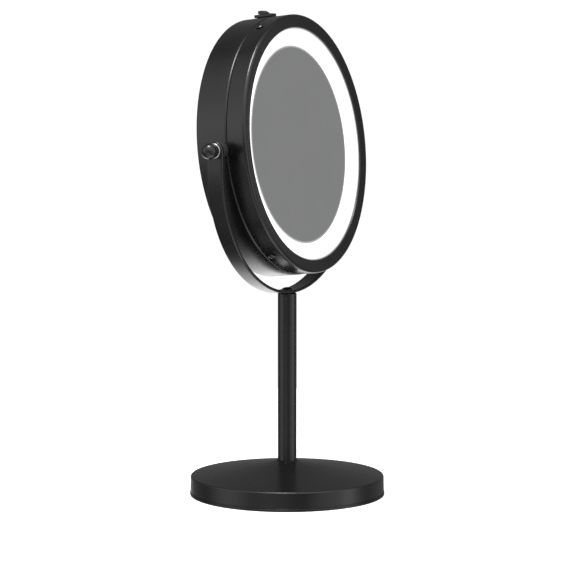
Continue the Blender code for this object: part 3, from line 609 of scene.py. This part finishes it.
def make_base():
    """Pressed cover with a rolled foot, over a ribbed rubber pad."""
    groove = BASE_RADIUS - 0.65 * MM
    foot = 0.05 * MM
    roll, above = 1.75 * MM, 2.25 * MM
    hole = STEM_RADIUS + GAP
    wall = 1.2 * MM
    cover = [
        (BASE_RADIUS, foot, 0.3 * MM), (BASE_RADIUS, roll, 0.25 * MM), (groove, roll),
        (groove, above), (BASE_RADIUS - 0.3 * MM, above, 0.2 * MM),
        (BASE_RIM_RADIUS, BASE_RIM_HEIGHT, 1.1 * MM),
        (STEM_RADIUS + 2.2 * MM, CONE_TOP - 0.4 * MM, 1.5 * MM),
        (hole, CONE_TOP + 0.6 * MM, 0.2 * MM), (hole, CONE_TOP - 1.6 * MM),
        (BASE_RIM_RADIUS - wall, BASE_RIM_HEIGHT - 1.4 * MM), (BASE_RADIUS - wall, foot),
    ]
    add_piece("base_cover", turned(cover), "black_paint", Matrix())
    pad = [(0.0, PAD_THICKNESS), (PAD_RADIUS, PAD_THICKNESS, 0.2 * MM), (PAD_RADIUS, 0.0, 0.3 * MM)]
    for middle in PAD_GROOVES:
        pad += [((middle + 0.8) * MM, 0.0), ((middle + 0.5) * MM, 0.5 * MM)]
        pad += [((middle - 0.5) * MM, 0.5 * MM), ((middle - 0.8) * MM, 0.0)]
    pad.append((0.0, 0.0))
    add_piece("base_pad", turned(pad), "rubber_pad", Matrix())


def make_stem():
    inner = STEM_RADIUS - STEM_WALL
    tube = [
        (inner, STEM_BOTTOM), (STEM_RADIUS, STEM_BOTTOM), (STEM_RADIUS, STEM_TOP, 0.8 * MM),
        (inner, STEM_TOP),
    ]
    add_piece("stem_tube", turned(tube, MIDDLE_STEPS), "black_paint", Matrix())


def strap_section():
    """Cross-section of the strap: (along its thickness, across its width), edges fully rounded."""
    half = STRAP_THICKNESS / 2.0
    flat = STRAP_HALF_WIDTH - half
    across = [flat * k / 4.0 for k in range(-4, 5)]
    section = [(half, b) for b in across]
    for k in range(1, 10):
        turn = math.pi * k / 10.0
        section.append((half * math.cos(turn), flat + half * math.sin(turn)))
    return section + [(-a, -b) for a, b in section]


def strap_rings():
    """Place the section along the U, and round the end of each leg about the pivot axis."""
    middle = YOKE_HALF_SPAN - STRAP_THICKNESS / 2.0
    drop = YOKE_ARC_HEIGHT - YOKE_BOTTOM - STRAP_THICKNESS / 2.0
    section = strap_section()
    end_steps = 12
    arc_steps = 128
    cap = []
    for k in range(end_steps, -1, -1):
        turn = math.pi / 2.0 * k / end_steps
        closing, rise = math.cos(turn), math.sin(turn)
        cap.append([(middle + a, b * closing, PIVOT.z + abs(b) * rise) for a, b in section])
    arc = []
    for k in range(arc_steps + 1):
        angle = math.pi * k / arc_steps
        across, down = math.cos(angle), math.sin(angle)
        normal = Vector((across / middle, -down / drop)).normalized()
        arc.append([(middle * across + normal.x * a, b, YOKE_ARC_HEIGHT - drop * down + normal.y * a)
                    for a, b in section])
    return cap + arc + [[(-x, y, z) for x, y, z in ring] for ring in reversed(cap)]


def make_strap():
    """The yoke's bent strap, with a hole at each end and one at the bottom."""
    shape = bmesh.new()
    rings = [[shape.verts.new(point) for point in ring] for ring in strap_rings()]
    for ring, following in zip(rings, rings[1:]):
        add_faces_between(shape, ring, following)
    bmesh.ops.remove_doubles(shape, verts=shape.verts, dist=1e-6)
    reach = YOKE_HALF_SPAN + 4.0 * MM
    bores = []
    for side in (-1, 1):
        outer, inner = (side * reach, 0, PIVOT.z), (side * (reach - 10.0 * MM), 0, PIVOT.z)
        bores.append(rod(outer, inner, BORE, SCREW_STEPS))
    lowest, highest = (0, 0, YOKE_BOTTOM - 3.0 * MM), (0, 0, YOKE_BOTTOM + 5.0 * MM)
    bores.append(rod(lowest, highest, BORE, SCREW_STEPS))
    return combined(shape, bores)


def make_yoke():
    add_piece("yoke", make_strap(), "black_paint", Matrix(), sharp=40.0)
    seat = YOKE_BOTTOM + STRAP_THICKNESS + GAP
    top = seat + YOKE_SCREW_RISE
    shank = 2.5 * MM
    screw = [
        (0.0, YOKE_SCREW_TIP), (shank, YOKE_SCREW_TIP), (shank, seat), (YOKE_SCREW_RADIUS, seat, 0.1 * MM),
    ]
    screw += domed(YOKE_SCREW_RADIUS, seat + 0.3 * MM, top)
    shape = combined(turned(screw, SMALL_STEPS), [cross_recess(1.9 * MM, 0.8 * MM, top, 0.8 * MM)])
    add_piece("yoke_screw", shape, "black_paint", Matrix())


def domed(radius, low, high):
    """Outline of a dome from its rim up to its crown."""
    steps = 8
    rise = high - low
    ball = (radius ** 2 + rise ** 2) / (2.0 * rise)
    widest = math.asin(radius / ball)
    points = []
    for k in range(steps + 1):
        turn = widest * (1.0 - k / steps)
        points.append((ball * math.sin(turn), high - ball * (1.0 - math.cos(turn))))
    return points


# ---------------------------------------------------------------- pivots

def make_pivots():
    inner_face = YOKE_HALF_SPAN - STRAP_THICKNESS
    for side, suffix in ((-1, "left"), (1, "right")):
        place = HEAD @ Matrix.Rotation(side * math.pi / 2.0, 4, "Y")
        spacer = ring_outline(SPACER_RADIUS, REAR_RADIUS + 0.35 * MM, SPACER_END, 0.3 * MM)
        add_piece(f"pivot_spacer_{suffix}", turned(spacer, SMALL_STEPS), "black_nylon", place)
        washer = ring_outline(WASHER_RADIUS, inner_face - WASHER_THICKNESS, inner_face - GAP, 0.25 * MM)
        add_piece(f"pivot_washer_{suffix}", turned(washer, SMALL_STEPS), "black_nylon", place)
        shift = Matrix.Translation((0.0, 0.0, YOKE_HALF_SPAN + GAP))
        add_piece(f"pivot_knob_{suffix}", turned(knob_outline(), MIDDLE_STEPS), "knob_paint", place @ shift)


def ring_outline(radius, low, high, edge):
    """Outline of a ring on the stud, from low to high along it, with rounded outer edges."""
    return [(BORE, low), (radius, low, edge), (radius, high, edge), (BORE, high)]


def knob_outline():
    """Flange against the strap, short neck and ball, with a blind bore for the stud."""
    outline = [
        (BORE, 0.0), (FLANGE_RADIUS, 0.0, 0.4 * MM), (FLANGE_RADIUS, FLANGE_THICKNESS, 0.6 * MM),
        (KNOB_NECK, FLANGE_THICKNESS, 0.15 * MM),
    ]
    start = math.asin(KNOB_NECK / KNOB_BALL)
    steps = 24
    for k in range(steps):
        turn = start + (math.pi - start) * k / steps
        outline.append((KNOB_BALL * math.sin(turn), KNOB_CENTRE - KNOB_BALL * math.cos(turn)))
    outline.append((0.0, KNOB_CENTRE + KNOB_BALL))
    return outline + [(0.0, KNOB_BORE_DEPTH), (BORE, KNOB_BORE_DEPTH)]


# ---------------------------------------------------------------- head casing

def radial_rods(low, high):
    """Cutters for the three band screws' holes."""
    rods = []
    for angle in BAND_SCREW_ANGLES:
        out = Vector((-math.sin(angle), math.cos(angle), 0.0))
        middle = Vector((0.0, 0.0, BAND_SCREW_DEPTH))
        rods.append(rod(middle + out * low, middle + out * high, SCREW_HOLE, HOLE_STEPS))
    return rods


def make_casing():
    """Rear shell with its inner skirt, and front shell with the bezel that slopes inwards."""
    skirt = REAR_RADIUS - 2.05 * MM
    inside = REAR_RADIUS - SHELL_WALL
    opening = COVER_RADIUS + 0.4 * MM
    web = SHELL_JOINT - SHELL_WALL
    rear = [
        (REAR_RADIUS, SHELL_JOINT, 1.4 * MM), (REAR_RADIUS, REAR_FACE, 1.4 * MM),
        (opening, REAR_FACE, 0.6 * MM), (opening, REAR_FACE + 1.6 * MM),
        (inside, REAR_FACE + 1.6 * MM, 0.5 * MM), (inside, web), (skirt - SHELL_WALL, web),
        (skirt - SHELL_WALL, SKIRT_END), (skirt, SKIRT_END, 0.3 * MM), (skirt, SHELL_JOINT),
    ]
    cutters = radial_rods(82.0 * MM, 88.5 * MM)
    for side in (-1, 1):
        stud_head = rod((side * 80.0 * MM, 0, 0), (side * 86.0 * MM, 0, 0), 4.9 * MM, SCREW_STEPS)
        stud = rod((side * 82.0 * MM, 0, 0), (side * 90.0 * MM, 0, 0), BORE, SCREW_STEPS)
        cutters += [stud_head, stud]
    low, high = 84.0 * MM, 90.0 * MM
    slot_outline = [(low, SLOT_REAR), (high, SLOT_REAR), (high, SLOT_FRONT), (low, SLOT_FRONT)]
    cutters.append(extruded(slot_outline, -1.7 * MM, 1.7 * MM))
    add_piece("rear_shell", combined(turned(rear), cutters), "black_paint")
    inside = FRONT_RADIUS - SHELL_WALL
    lip = FRONT_FACE - BEZEL_DISH
    front = [
        (FRONT_RADIUS, SHELL_JOINT + GAP, 0.25 * MM), (inside, SHELL_JOINT + GAP),
        (inside, FRONT_FACE - SHELL_WALL, 0.6 * MM), (BEZEL_INNER, lip - BEZEL_LIP, 0.1 * MM),
        (BEZEL_INNER, lip, 0.6 * MM), (FRONT_RADIUS, FRONT_FACE, 2.0 * MM),
    ]
    shell = combined(turned(front), radial_rods(84.5 * MM, 90.0 * MM))
    add_piece("front_shell", shell, "black_paint")


def make_band_screws():
    seat = FRONT_RADIUS + GAP
    top = seat + BAND_SCREW_RISE
    tip = 84.3 * MM
    outline = [(0.0, tip), (SCREW_SHANK, tip), (SCREW_SHANK, seat), (BAND_SCREW_RADIUS, seat, 0.1 * MM)]
    outline += domed(BAND_SCREW_RADIUS, seat + 0.25 * MM, top)
    for number, angle in enumerate(BAND_SCREW_ANGLES, 1):
        shape = combined(turned(outline, SCREW_STEPS), [cross_recess(1.3 * MM, 0.55 * MM, top, 0.6 * MM)])
        place = HEAD @ Matrix.Translation((0.0, 0.0, BAND_SCREW_DEPTH)) @ Matrix.Rotation(angle, 4, "Z")
        place = place @ Matrix.Rotation(-math.pi / 2.0, 4, "X")
        add_piece(f"band_screw_{number}", shape, "black_paint", place)


# ---------------------------------------------------------------- lit side

def make_lit_side():
    """Light ring, mirror glass and the white dish behind them."""
    top = FRONT_FACE - BEZEL_DISH - BEZEL_LIP - GAP
    inner, outer = MIRROR_RADIUS + GAP, TRAY_OUTER - 0.2 * MM
    thickness = 1.6 * MM
    ring = [
        (inner, MIRROR_FACE, 0.2 * MM), (BEZEL_INNER - 0.3 * MM, top), (outer, top, 0.3 * MM),
        (outer, top - thickness), (BEZEL_INNER + 0.6 * MM, top - thickness),
        (inner, MIRROR_FACE - 1.8 * MM),
    ]
    add_piece("light_ring", turned(ring), "opal_diffuser")
    back = MIRROR_FACE - MIRROR_GLASS
    glass = [(0.0, back), (MIRROR_RADIUS, back, 0.3 * MM), (MIRROR_RADIUS, MIRROR_FACE, 0.4 * MM)]
    glass += [(share * MIRROR_RADIUS, MIRROR_FACE) for share in (0.9, 0.6, 0.3)] + [(0.0, MIRROR_FACE)]
    add_piece("front_mirror", turned(glass), "lit_mirror")
    step, wall = DISH_INNER + DISH_THICKNESS, TRAY_OUTER - SHELL_WALL
    well, table, rim = 1.7 * MM, 4.2 * MM, 12.6 * MM
    dish = [
        (0.0, table + DISH_THICKNESS), (step, table + DISH_THICKNESS, 0.4 * MM),
        (step, well + DISH_THICKNESS), (wall, well + DISH_THICKNESS), (wall, rim), (TRAY_OUTER, rim, 0.3 * MM),
        (TRAY_OUTER, well, 0.5 * MM), (DISH_INNER, well, 0.5 * MM), (DISH_INNER, table), (0.0, table),
    ]
    ribs = []
    for k in range(12):
        turn = Matrix.Rotation(math.radians(15.0 + 30.0 * k), 4, "Z")
        rib = block(8.5 * MM, 0.6 * MM, 3.4 * MM, 4.6 * MM, 0.3 * MM, 0.15 * MM, (55.0 * MM, 0.0))
        bmesh.ops.transform(rib, matrix=turn, verts=rib.verts)
        ribs.append(rib)
    shape = combined(turned(dish), ribs, "UNION")
    holes = []
    for x in (-TRAY_SCREW_OFFSET, TRAY_SCREW_OFFSET):
        holes.append(rod((x, 0, 3.0 * MM), (x, 0, 6.5 * MM), SCREW_HOLE, HOLE_STEPS))
    for x, y in LEAD_HOLES:
        start, end = (x * MM, y * MM, 1.0 * MM), (x * MM, y * MM, 3.2 * MM)
        holes.append(rod(start, end, LEAD_RADIUS + GAP, HOLE_STEPS))
    add_piece("reflector_tray", combined(shape, holes), "white_plastic")


# ---------------------------------------------------------------- rear side

def make_rear_side():
    """Pull-off ring with the magnifying mirror and its ribbed backing."""
    inside = COVER_RADIUS - SHELL_WALL
    end = -9.9 * MM
    shelf = COVER_FACE + 1.4 * MM
    ring = [
        (COVER_RADIUS, COVER_FACE, 0.5 * MM), (COVER_RADIUS, end, 0.3 * MM), (inside, end, 0.3 * MM),
        (inside, shelf), (COVER_OPENING, shelf), (COVER_OPENING, COVER_FACE, 0.6 * MM),
    ]
    add_piece("rear_cover", turned(ring), "black_paint")
    bowl = []
    steps = 24
    for k in range(steps + 1):
        share = k / steps
        bowl.append((GLASS_RADIUS * share, GLASS_RIM + GLASS_SAG * (1.0 - share ** 2)))
    thickness = 2.4 * MM
    glass = [(0.0, GLASS_RIM + GLASS_SAG + thickness)] + bowl
    glass += [(radius, depth + thickness) for radius, depth in reversed(bowl[1:])]
    add_piece("magnifying_mirror", turned(glass), "mirror_silver")
    flat, ridge = -10.3 * MM, -9.75 * MM
    backing = [
        (0.0, BACKING_FACE), (BACKING_RADIUS, BACKING_FACE, 0.2 * MM), (BACKING_RADIUS, flat, 0.3 * MM),
    ]
    for middle in (70.0, 52.0, 34.0):
        backing += [((middle + 0.7) * MM, flat), ((middle + 0.4) * MM, ridge)]
        backing += [((middle - 0.4) * MM, ridge), ((middle - 0.7) * MM, flat)]
    backing.append((0.0, flat))
    add_piece("mirror_backing", turned(backing), "black_plastic")


# ---------------------------------------------------------------- battery bay

def cell_row(index):
    """How far up the disc a cell's axis lies."""
    return (index - (CELL_COUNT - 1) / 2.0) * CELL_PITCH


def make_battery_tray():
    """Open cup with cradle ribs between the cells, and an ear for a screw at each end."""
    length = TRAY_HALF_LENGTH
    width = TRAY_HALF_WIDTH
    wall = TRAY_WALL
    outlines = [
        rectangle(length + wall - 0.5 * MM, width + wall - 0.5 * MM, 1.0 * MM, TRAY_BACK),
        rectangle(length + wall, width + wall, 1.5 * MM, TRAY_BACK - 0.5 * MM),
        rectangle(length + wall, width + wall, 1.5 * MM, TRAY_RIM + 0.4 * MM),
        rectangle(length + wall - 0.3 * MM, width + wall - 0.3 * MM, 1.3 * MM, TRAY_RIM),
        rectangle(length + 0.3 * MM, width + 0.3 * MM, 0.8 * MM, TRAY_RIM),
        rectangle(length, width, 0.5 * MM, TRAY_RIM + 0.4 * MM),
        rectangle(length, width, 0.5 * MM, TRAY_FLOOR - 0.3 * MM),
        rectangle(length - 0.3 * MM, width - 0.3 * MM, 0.4 * MM, TRAY_FLOOR),
    ]
    additions = []
    for side in (-1, 1):
        ear = block(4.9 * MM, 5.0 * MM, TRAY_FLOOR - 0.1 * MM, TRAY_BACK - 0.05 * MM, 2.5 * MM, 0.2 * MM,
                    (side * 31.1 * MM, 0.0))
        rib = block(18.0 * MM, 0.75 * MM, 0.5 * MM, TRAY_FLOOR + 0.5 * MM, 0.4 * MM, 0.2 * MM,
                    (0.0, side * CELL_PITCH / 2.0))
        additions += [ear, rib]
    holes = []
    for side in (-1, 1):
        x = side * TRAY_SCREW_OFFSET
        holes.append(rod((x, 0, 0), (x, 0, 6.0 * MM), SCREW_HOLE, HOLE_STEPS))
        row = cell_row(CELL_COUNT - 1 if side > 0 else 0)
        inner, outer = (side * 25.0 * MM, row, CELL_DEPTH), (side * 28.4 * MM, row, CELL_DEPTH)
        holes.append(rod(inner, outer, LEAD_RADIUS + GAP, HOLE_STEPS))
    shape = combined(combined(lofted(outlines), additions, "UNION"), holes)
    add_piece("battery_tray", shape, "black_plastic")
    seat = TRAY_FLOOR - 0.1 * MM - GAP
    top = 1.3 * MM - seat
    tip = -5.2 * MM
    outline = [
        (0.0, tip), (SCREW_SHANK, tip, 0.3 * MM), (SCREW_SHANK, -seat), (TRAY_SCREW_RADIUS, -seat, 0.1 * MM),
    ]
    outline += domed(TRAY_SCREW_RADIUS, 0.3 * MM - seat, top)
    for side, suffix in ((-1, "left"), (1, "right")):
        screw = combined(turned(outline, SCREW_STEPS), [cross_recess(1.35 * MM, 0.6 * MM, top, 0.6 * MM)])
        place = HEAD @ Matrix.Translation((side * TRAY_SCREW_OFFSET, 0.0, 0.0))
        add_piece(f"tray_screw_{suffix}", screw, "steel", place @ Matrix.Rotation(math.pi, 4, "X"))


def make_cells():
    """Three cells, side by side and head to tail, each with a spring at its foot."""
    foot_dent, shoulder, button = 0.15 * MM, CELL_BODY - 0.2 * MM, 1.9 * MM
    outline = [
        (0.0, foot_dent), (3.6 * MM, foot_dent), (3.9 * MM, 0.0), (CELL_RADIUS, 0.0, 0.6 * MM),
        (CELL_RADIUS, CELL_BODY, 0.6 * MM), (3.4 * MM, CELL_BODY), (3.2 * MM, shoulder),
        (button, shoulder), (button, CELL_LENGTH, 0.3 * MM), (0.0, CELL_LENGTH),
    ]
    for index in range(CELL_COUNT):
        side = 1 if index % 2 == 0 else -1
        along = Matrix.Rotation(side * math.pi / 2.0, 4, "Y")
        foot = PLATE - GAP - CELL_LENGTH
        place = HEAD @ Matrix.Translation((side * foot, cell_row(index), CELL_DEPTH)) @ along
        add_piece(f"battery_{index + 1}", turned(outline, SMALL_STEPS), "cell_wrap", place)
        place = HEAD @ Matrix.Translation((-side * (PLATE - GAP), cell_row(index), CELL_DEPTH)) @ along
        spring = make_spring(PLATE + foot - 2.0 * GAP)
        add_piece(f"battery_spring_{index + 1}", spring, "steel", place, sharp=60.0)


def make_spring(length):
    """Conical coil, wide at the plate and narrow at the cell."""
    wire = 0.35 * MM
    wide, narrowing = 3.6 * MM, 1.6 * MM
    half_turns = 7.0
    count, sides = 140, 10
    turns = [2.0 * math.pi * j / sides for j in range(sides)]
    outlines = []
    for k in range(count + 1):
        share = k / count
        angle = half_turns * math.pi * share
        out = Vector((math.cos(angle), math.sin(angle), 0.0))
        rise = Vector((0.0, 0.0, wire + (length - 2.0 * wire) * share))
        middle = out * (wide - narrowing * share) + rise
        spokes = [out * math.cos(t) + Vector((0.0, 0.0, math.sin(t))) for t in turns]
        outlines.append([middle + spoke * wire for spoke in spokes])
    return lofted(outlines)


def smooth_route(points, per_span):
    """Catmull-Rom curve through the route's points."""
    padded = [2.0 * points[0] - points[1]] + points + [2.0 * points[-1] - points[-2]]
    route = []
    for a, b, c, d in zip(padded, padded[1:], padded[2:], padded[3:]):
        for k in range(per_span):
            t = k / per_span
            place = 2.0 * b + (c - a) * t + (2.0 * a - 5.0 * b + 4.0 * c - d) * t ** 2
            route.append((place + (3.0 * b - a - 3.0 * c + d) * t ** 3) / 2.0)
    return route + [points[-1]]


def make_leads():
    """Battery to switch, switch to LED board and board to battery. Points are in millimetres."""
    (near_x, near_y), (far_x, far_y) = LEAD_HOLES
    routes = {
        "lead_plus": ("red_wire", [
            (26.0, 11.4, -3.2), (28.0, 11.4, -3.2), (30.0, 11.4, -3.2), (35.0, 26.0, -5.0),
            (27.0, 56.0, -7.0), (10.0, 72.0, LEAD_DEPTH), (2.0, 76.5, LEAD_DEPTH), (2.0, 80.2, LEAD_DEPTH)]),
        "lead_switched": ("red_wire", [
            (-2.0, 80.2, LEAD_DEPTH), (-2.0, 77.5, -7.3), (-9.0, 73.0, -4.5), (near_x, near_y, -1.2),
            (near_x, near_y, 0.6), (near_x, near_y, 2.8)]),
        "lead_return": ("black_wire", [
            (-26.0, -11.4, -3.2), (-28.0, -11.4, -3.2), (-30.0, -11.4, -3.2), (-45.0, -22.0, -3.0),
            (far_x, far_y, -1.5), (far_x, far_y, 0.6), (far_x, far_y, 2.8)]),
    }
    sides = 14
    turns = [2.0 * math.pi * j / sides for j in range(sides)]
    skew = Vector((0.31, 0.22, 0.92))    # along none of the routes
    for node, (look, points) in routes.items():
        route = smooth_route([Vector(point) * MM for point in points], 8)
        outlines = []
        for k, middle in enumerate(route):
            ahead = (route[min(k + 1, len(route) - 1)] - route[max(k - 1, 0)]).normalized()
            across = ahead.cross(skew).normalized()
            other = ahead.cross(across)
            spokes = [across * math.cos(t) + other * math.sin(t) for t in turns]
            outlines.append([middle + spoke * LEAD_RADIUS for spoke in spokes])
        add_piece(node, lofted(outlines), look, sharp=60.0)


# ---------------------------------------------------------------- switch

def make_switch():
    """Plate with a slot, and a wedge-shaped slider with finger ridges."""
    middle = -(SWITCH_REAR + SWITCH_FRONT) / 2.0
    half_length = (SWITCH_FRONT - SWITCH_REAR) / 2.0
    plate = block(SWITCH_HALF_WIDTH, half_length, REAR_RADIUS + GAP, SWITCH_TOP, 1.2 * MM, 0.35 * MM,
                  (0.0, middle))
    middle = -(SLOT_FRONT + SLOT_REAR) / 2.0
    half_length = (SLOT_FRONT - SLOT_REAR) / 2.0
    slot = block(1.5 * MM, half_length, 86.0 * MM, 92.0 * MM, 0.6 * MM, 0.1 * MM, (0.0, middle))
    add_piece("switch_plate", combined(plate, [slot]), "black_plastic", RIM_TOP)
    bottom = SWITCH_TOP + GAP
    rear, front = -SLIDER_REAR, -SLIDER_REAR - SLIDER_LENGTH
    side_view = [(rear, bottom), (rear, SLIDER_PEAK, 0.5 * MM)]
    for start in (0.9, 1.6, 2.3):
        ridge = rear - start * MM
        side_view += [(ridge, SLIDER_PEAK), (ridge - 0.15 * MM, SLIDER_PEAK - 0.22 * MM)]
        side_view.append((ridge - 0.3 * MM, SLIDER_PEAK))
    side_view += [
        (rear - 3.0 * MM, SLIDER_PEAK, 0.4 * MM), (front, bottom + 0.7 * MM, 0.3 * MM), (front, bottom),
    ]
    wedge = extruded(rounded(side_view), -SLIDER_HALF_WIDTH, SLIDER_HALF_WIDTH)
    rear, front, low, high = 9.6 * MM, 7.0 * MM, 84.0 * MM, bottom + 0.5 * MM
    neck = extruded([(rear, low), (rear, high), (front, high), (front, low)], -1.1 * MM, 1.1 * MM)
    add_piece("switch_knob", combined(wedge, [neck], "UNION"), "black_plastic", RIM_TOP, bevel=0.12 * MM)


def keep_hidden_nodes():
    """CAD nodes that stay as they are, inside the product, with a better material."""
    kept = {
        "base_weight": "cast_iron", "base_washer": "steel", "base_bolt": "steel",
        "stem_foot_insert": "brass", "stem_head_insert": "brass", "pivot_stud_left": "steel",
        "pivot_stud_right": "steel", "mirror_pad": "foam", "led_board": "circuit_board",
        "contact_minus": "steel", "contact_plus": "steel", "contact_bridge_left": "steel",
        "contact_bridge_right": "steel", "switch_body": "black_plastic",
    }
    for node, look in kept.items():
        mesh = frame["nodes"][node].data
        mesh.materials.clear()
        mesh.materials.append(LOOKS[look])


# ---------------------------------------------------------------- studio

CAMERA_PLACE = Vector((-1.3674, -0.7298, 0.2990))
CAMERA_HEADING = math.radians(28.145)    # of its view, from +X towards +Y
CAMERA_PITCH = math.radians(-5.708)
CAMERA_LENS = 144.15                     # in millimetres, over a square sensor of SENSOR_WIDTH
SENSOR_WIDTH = 36.0
FLOOR_RADIUS = 0.5
FLOOR_GLOW = 0.6
BACKDROP = 1.05                          # what the camera sees round the object
SOFTBOX_PLACE = (-0.35, -0.02, 1.55)
SOFTBOX_SIZE = 0.5
SOFTBOX_RADIANCE = 22.0
# Soft panels round the studio: compass direction (degrees from +X towards +Y), height above the
# horizon, spread (both in degrees) and brightness
SOFT_PANELS = [
    (135, 5, 35, 0.7), (140, 30, 50, 0.7), (-145, 50, 55, 1.3), (-90, -5, 45, 0.75), (-80, 45, 45, 0.8),
    (-170, -40, 45, 0.85), (-65, -75, 42, 1.75), (35, -38, 35, 2.2), (-25, 0, 30, 0.07),
    (-75, 0, 16, 1.1),
]
AMBIENT = 0.17
# How bright the room looks in a smooth mirror, where it is 0 and where it is 1
MIRRORED_ROOM = (0.183, 0.443)


def make_floor():
    """Pale floor, which reflections don't show."""
    shape = bmesh.new()
    bmesh.ops.create_circle(shape, cap_ends=True, radius=FLOOR_RADIUS, segments=128)
    mesh = bpy.data.meshes.new("floor")
    shape.to_mesh(mesh)
    shape.free()
    material, tree, shader = new_material("floor", Roughness=0.9, Emission_Strength=FLOOR_GLOW)
    shader.inputs["Emission Color"].default_value = (1.0, 1.0, 1.0, 1.0)
    point = object_point(tree)
    tree.links.new(ramp(tree, noise(tree, point, 9.0), [(0.3, grey(0.88)), (0.7, grey(0.9))]),
                   shader.inputs["Base Color"])
    shader.inputs["Specular IOR Level"].default_value = 0.1
    mesh.materials.append(material)
    floor = bpy.data.objects.new("floor", mesh)
    floor.location = (0.0, 0.0, cad_box[0].z - 0.1 * MM)
    floor.visible_glossy = False
    bpy.context.scene.collection.objects.link(floor)


def towards(compass, height):
    """Direction at an angle from +X towards +Y and a height above the horizon, in radians."""
    level = math.cos(height)
    return Vector((math.cos(compass) * level, math.sin(compass) * level, math.sin(height)))


def make_world():
    """White surroundings for the camera, soft panels in a dim room for everything else.

    A smooth mirror shows the panels with less contrast, so that it keeps a mid tone."""
    world = bpy.data.worlds.new("studio")
    world.use_nodes = True
    tree = world.node_tree
    tree.nodes.clear()
    direction = add_node(tree, "ShaderNodeTexCoord").outputs["Generated"]
    level = AMBIENT
    for compass, height, spread, brightness in SOFT_PANELS:
        centre = towards(math.radians(compass), math.radians(height))
        nearness = add_node(
            tree, "ShaderNodeVectorMath", [(0, direction), (1, centre)], operation="DOT_PRODUCT")
        panel = add_node(tree, "ShaderNodeMapRange", [
            ("Value", nearness.outputs["Value"]), ("From Min", math.cos(math.radians(spread))),
            ("From Max", 1.0), ("To Min", 0.0), ("To Max", brightness)], interpolation_type="SMOOTHSTEP")
        level = math_node(tree, "ADD", panel.outputs["Result"], level)
    path = add_node(tree, "ShaderNodeLightPath")
    softened = remap(tree, level, 0.0, 1.0, *MIRRORED_ROOM, clamp=False)
    level = add_node(tree, "ShaderNodeMix", [
        (0, path.outputs["Is Singular Ray"]), (2, level), (3, softened)]).outputs[0]
    white = (1.0, 1.0, 1.0, 1.0)
    room = add_node(tree, "ShaderNodeBackground", [("Color", white), ("Strength", level)])
    backdrop = add_node(tree, "ShaderNodeBackground", [("Color", white), ("Strength", BACKDROP)])
    mix = add_node(tree, "ShaderNodeMixShader", [
        (0, path.outputs["Is Camera Ray"]), (1, room.outputs[0]), (2, backdrop.outputs[0])])
    output = add_node(tree, "ShaderNodeOutputWorld")
    tree.links.new(mix.outputs[0], output.inputs["Surface"])
    bpy.context.scene.world = world


def place_and_point(data, place, view):
    """Put a light or a camera in the scene, looking along a direction."""
    obj = bpy.data.objects.new(data.name, data)
    obj.location = place
    obj.rotation_mode = "QUATERNION"
    obj.rotation_quaternion = view.to_track_quat("-Z", "Y")
    bpy.context.scene.collection.objects.link(obj)
    return obj


def make_softbox():
    """Overhead light, for the bright lines along the casing's front edges."""
    light = bpy.data.lights.new("overhead_softbox", "AREA")
    light.shape = "RECTANGLE"
    light.size = SOFTBOX_SIZE
    light.size_y = SOFTBOX_SIZE
    light.energy = SOFTBOX_RADIANCE * math.pi * SOFTBOX_SIZE * SOFTBOX_SIZE
    centre = (cad_box[0] + cad_box[1]) / 2.0
    obj = place_and_point(light, SOFTBOX_PLACE, centre - Vector(SOFTBOX_PLACE))
    obj.visible_camera = False


def make_camera():
    camera = bpy.data.cameras.new("camera")
    camera.lens = CAMERA_LENS
    camera.sensor_width = SENSOR_WIDTH
    camera.clip_start = 0.05
    camera.clip_end = 50.0
    view = towards(CAMERA_HEADING, CAMERA_PITCH)
    bpy.context.scene.camera = place_and_point(camera, CAMERA_PLACE, view)


# ---------------------------------------------------------------- assembly

LOOKS = make_materials()
make_base()
make_stem()
make_yoke()
make_pivots()
make_casing()
make_band_screws()
make_lit_side()
make_rear_side()
make_battery_tray()
make_cells()
make_leads()
make_switch()
keep_hidden_nodes()

make_floor()
make_world()
make_softbox()
make_camera()
bpy.context.scene.view_settings.view_transform = "Standard"
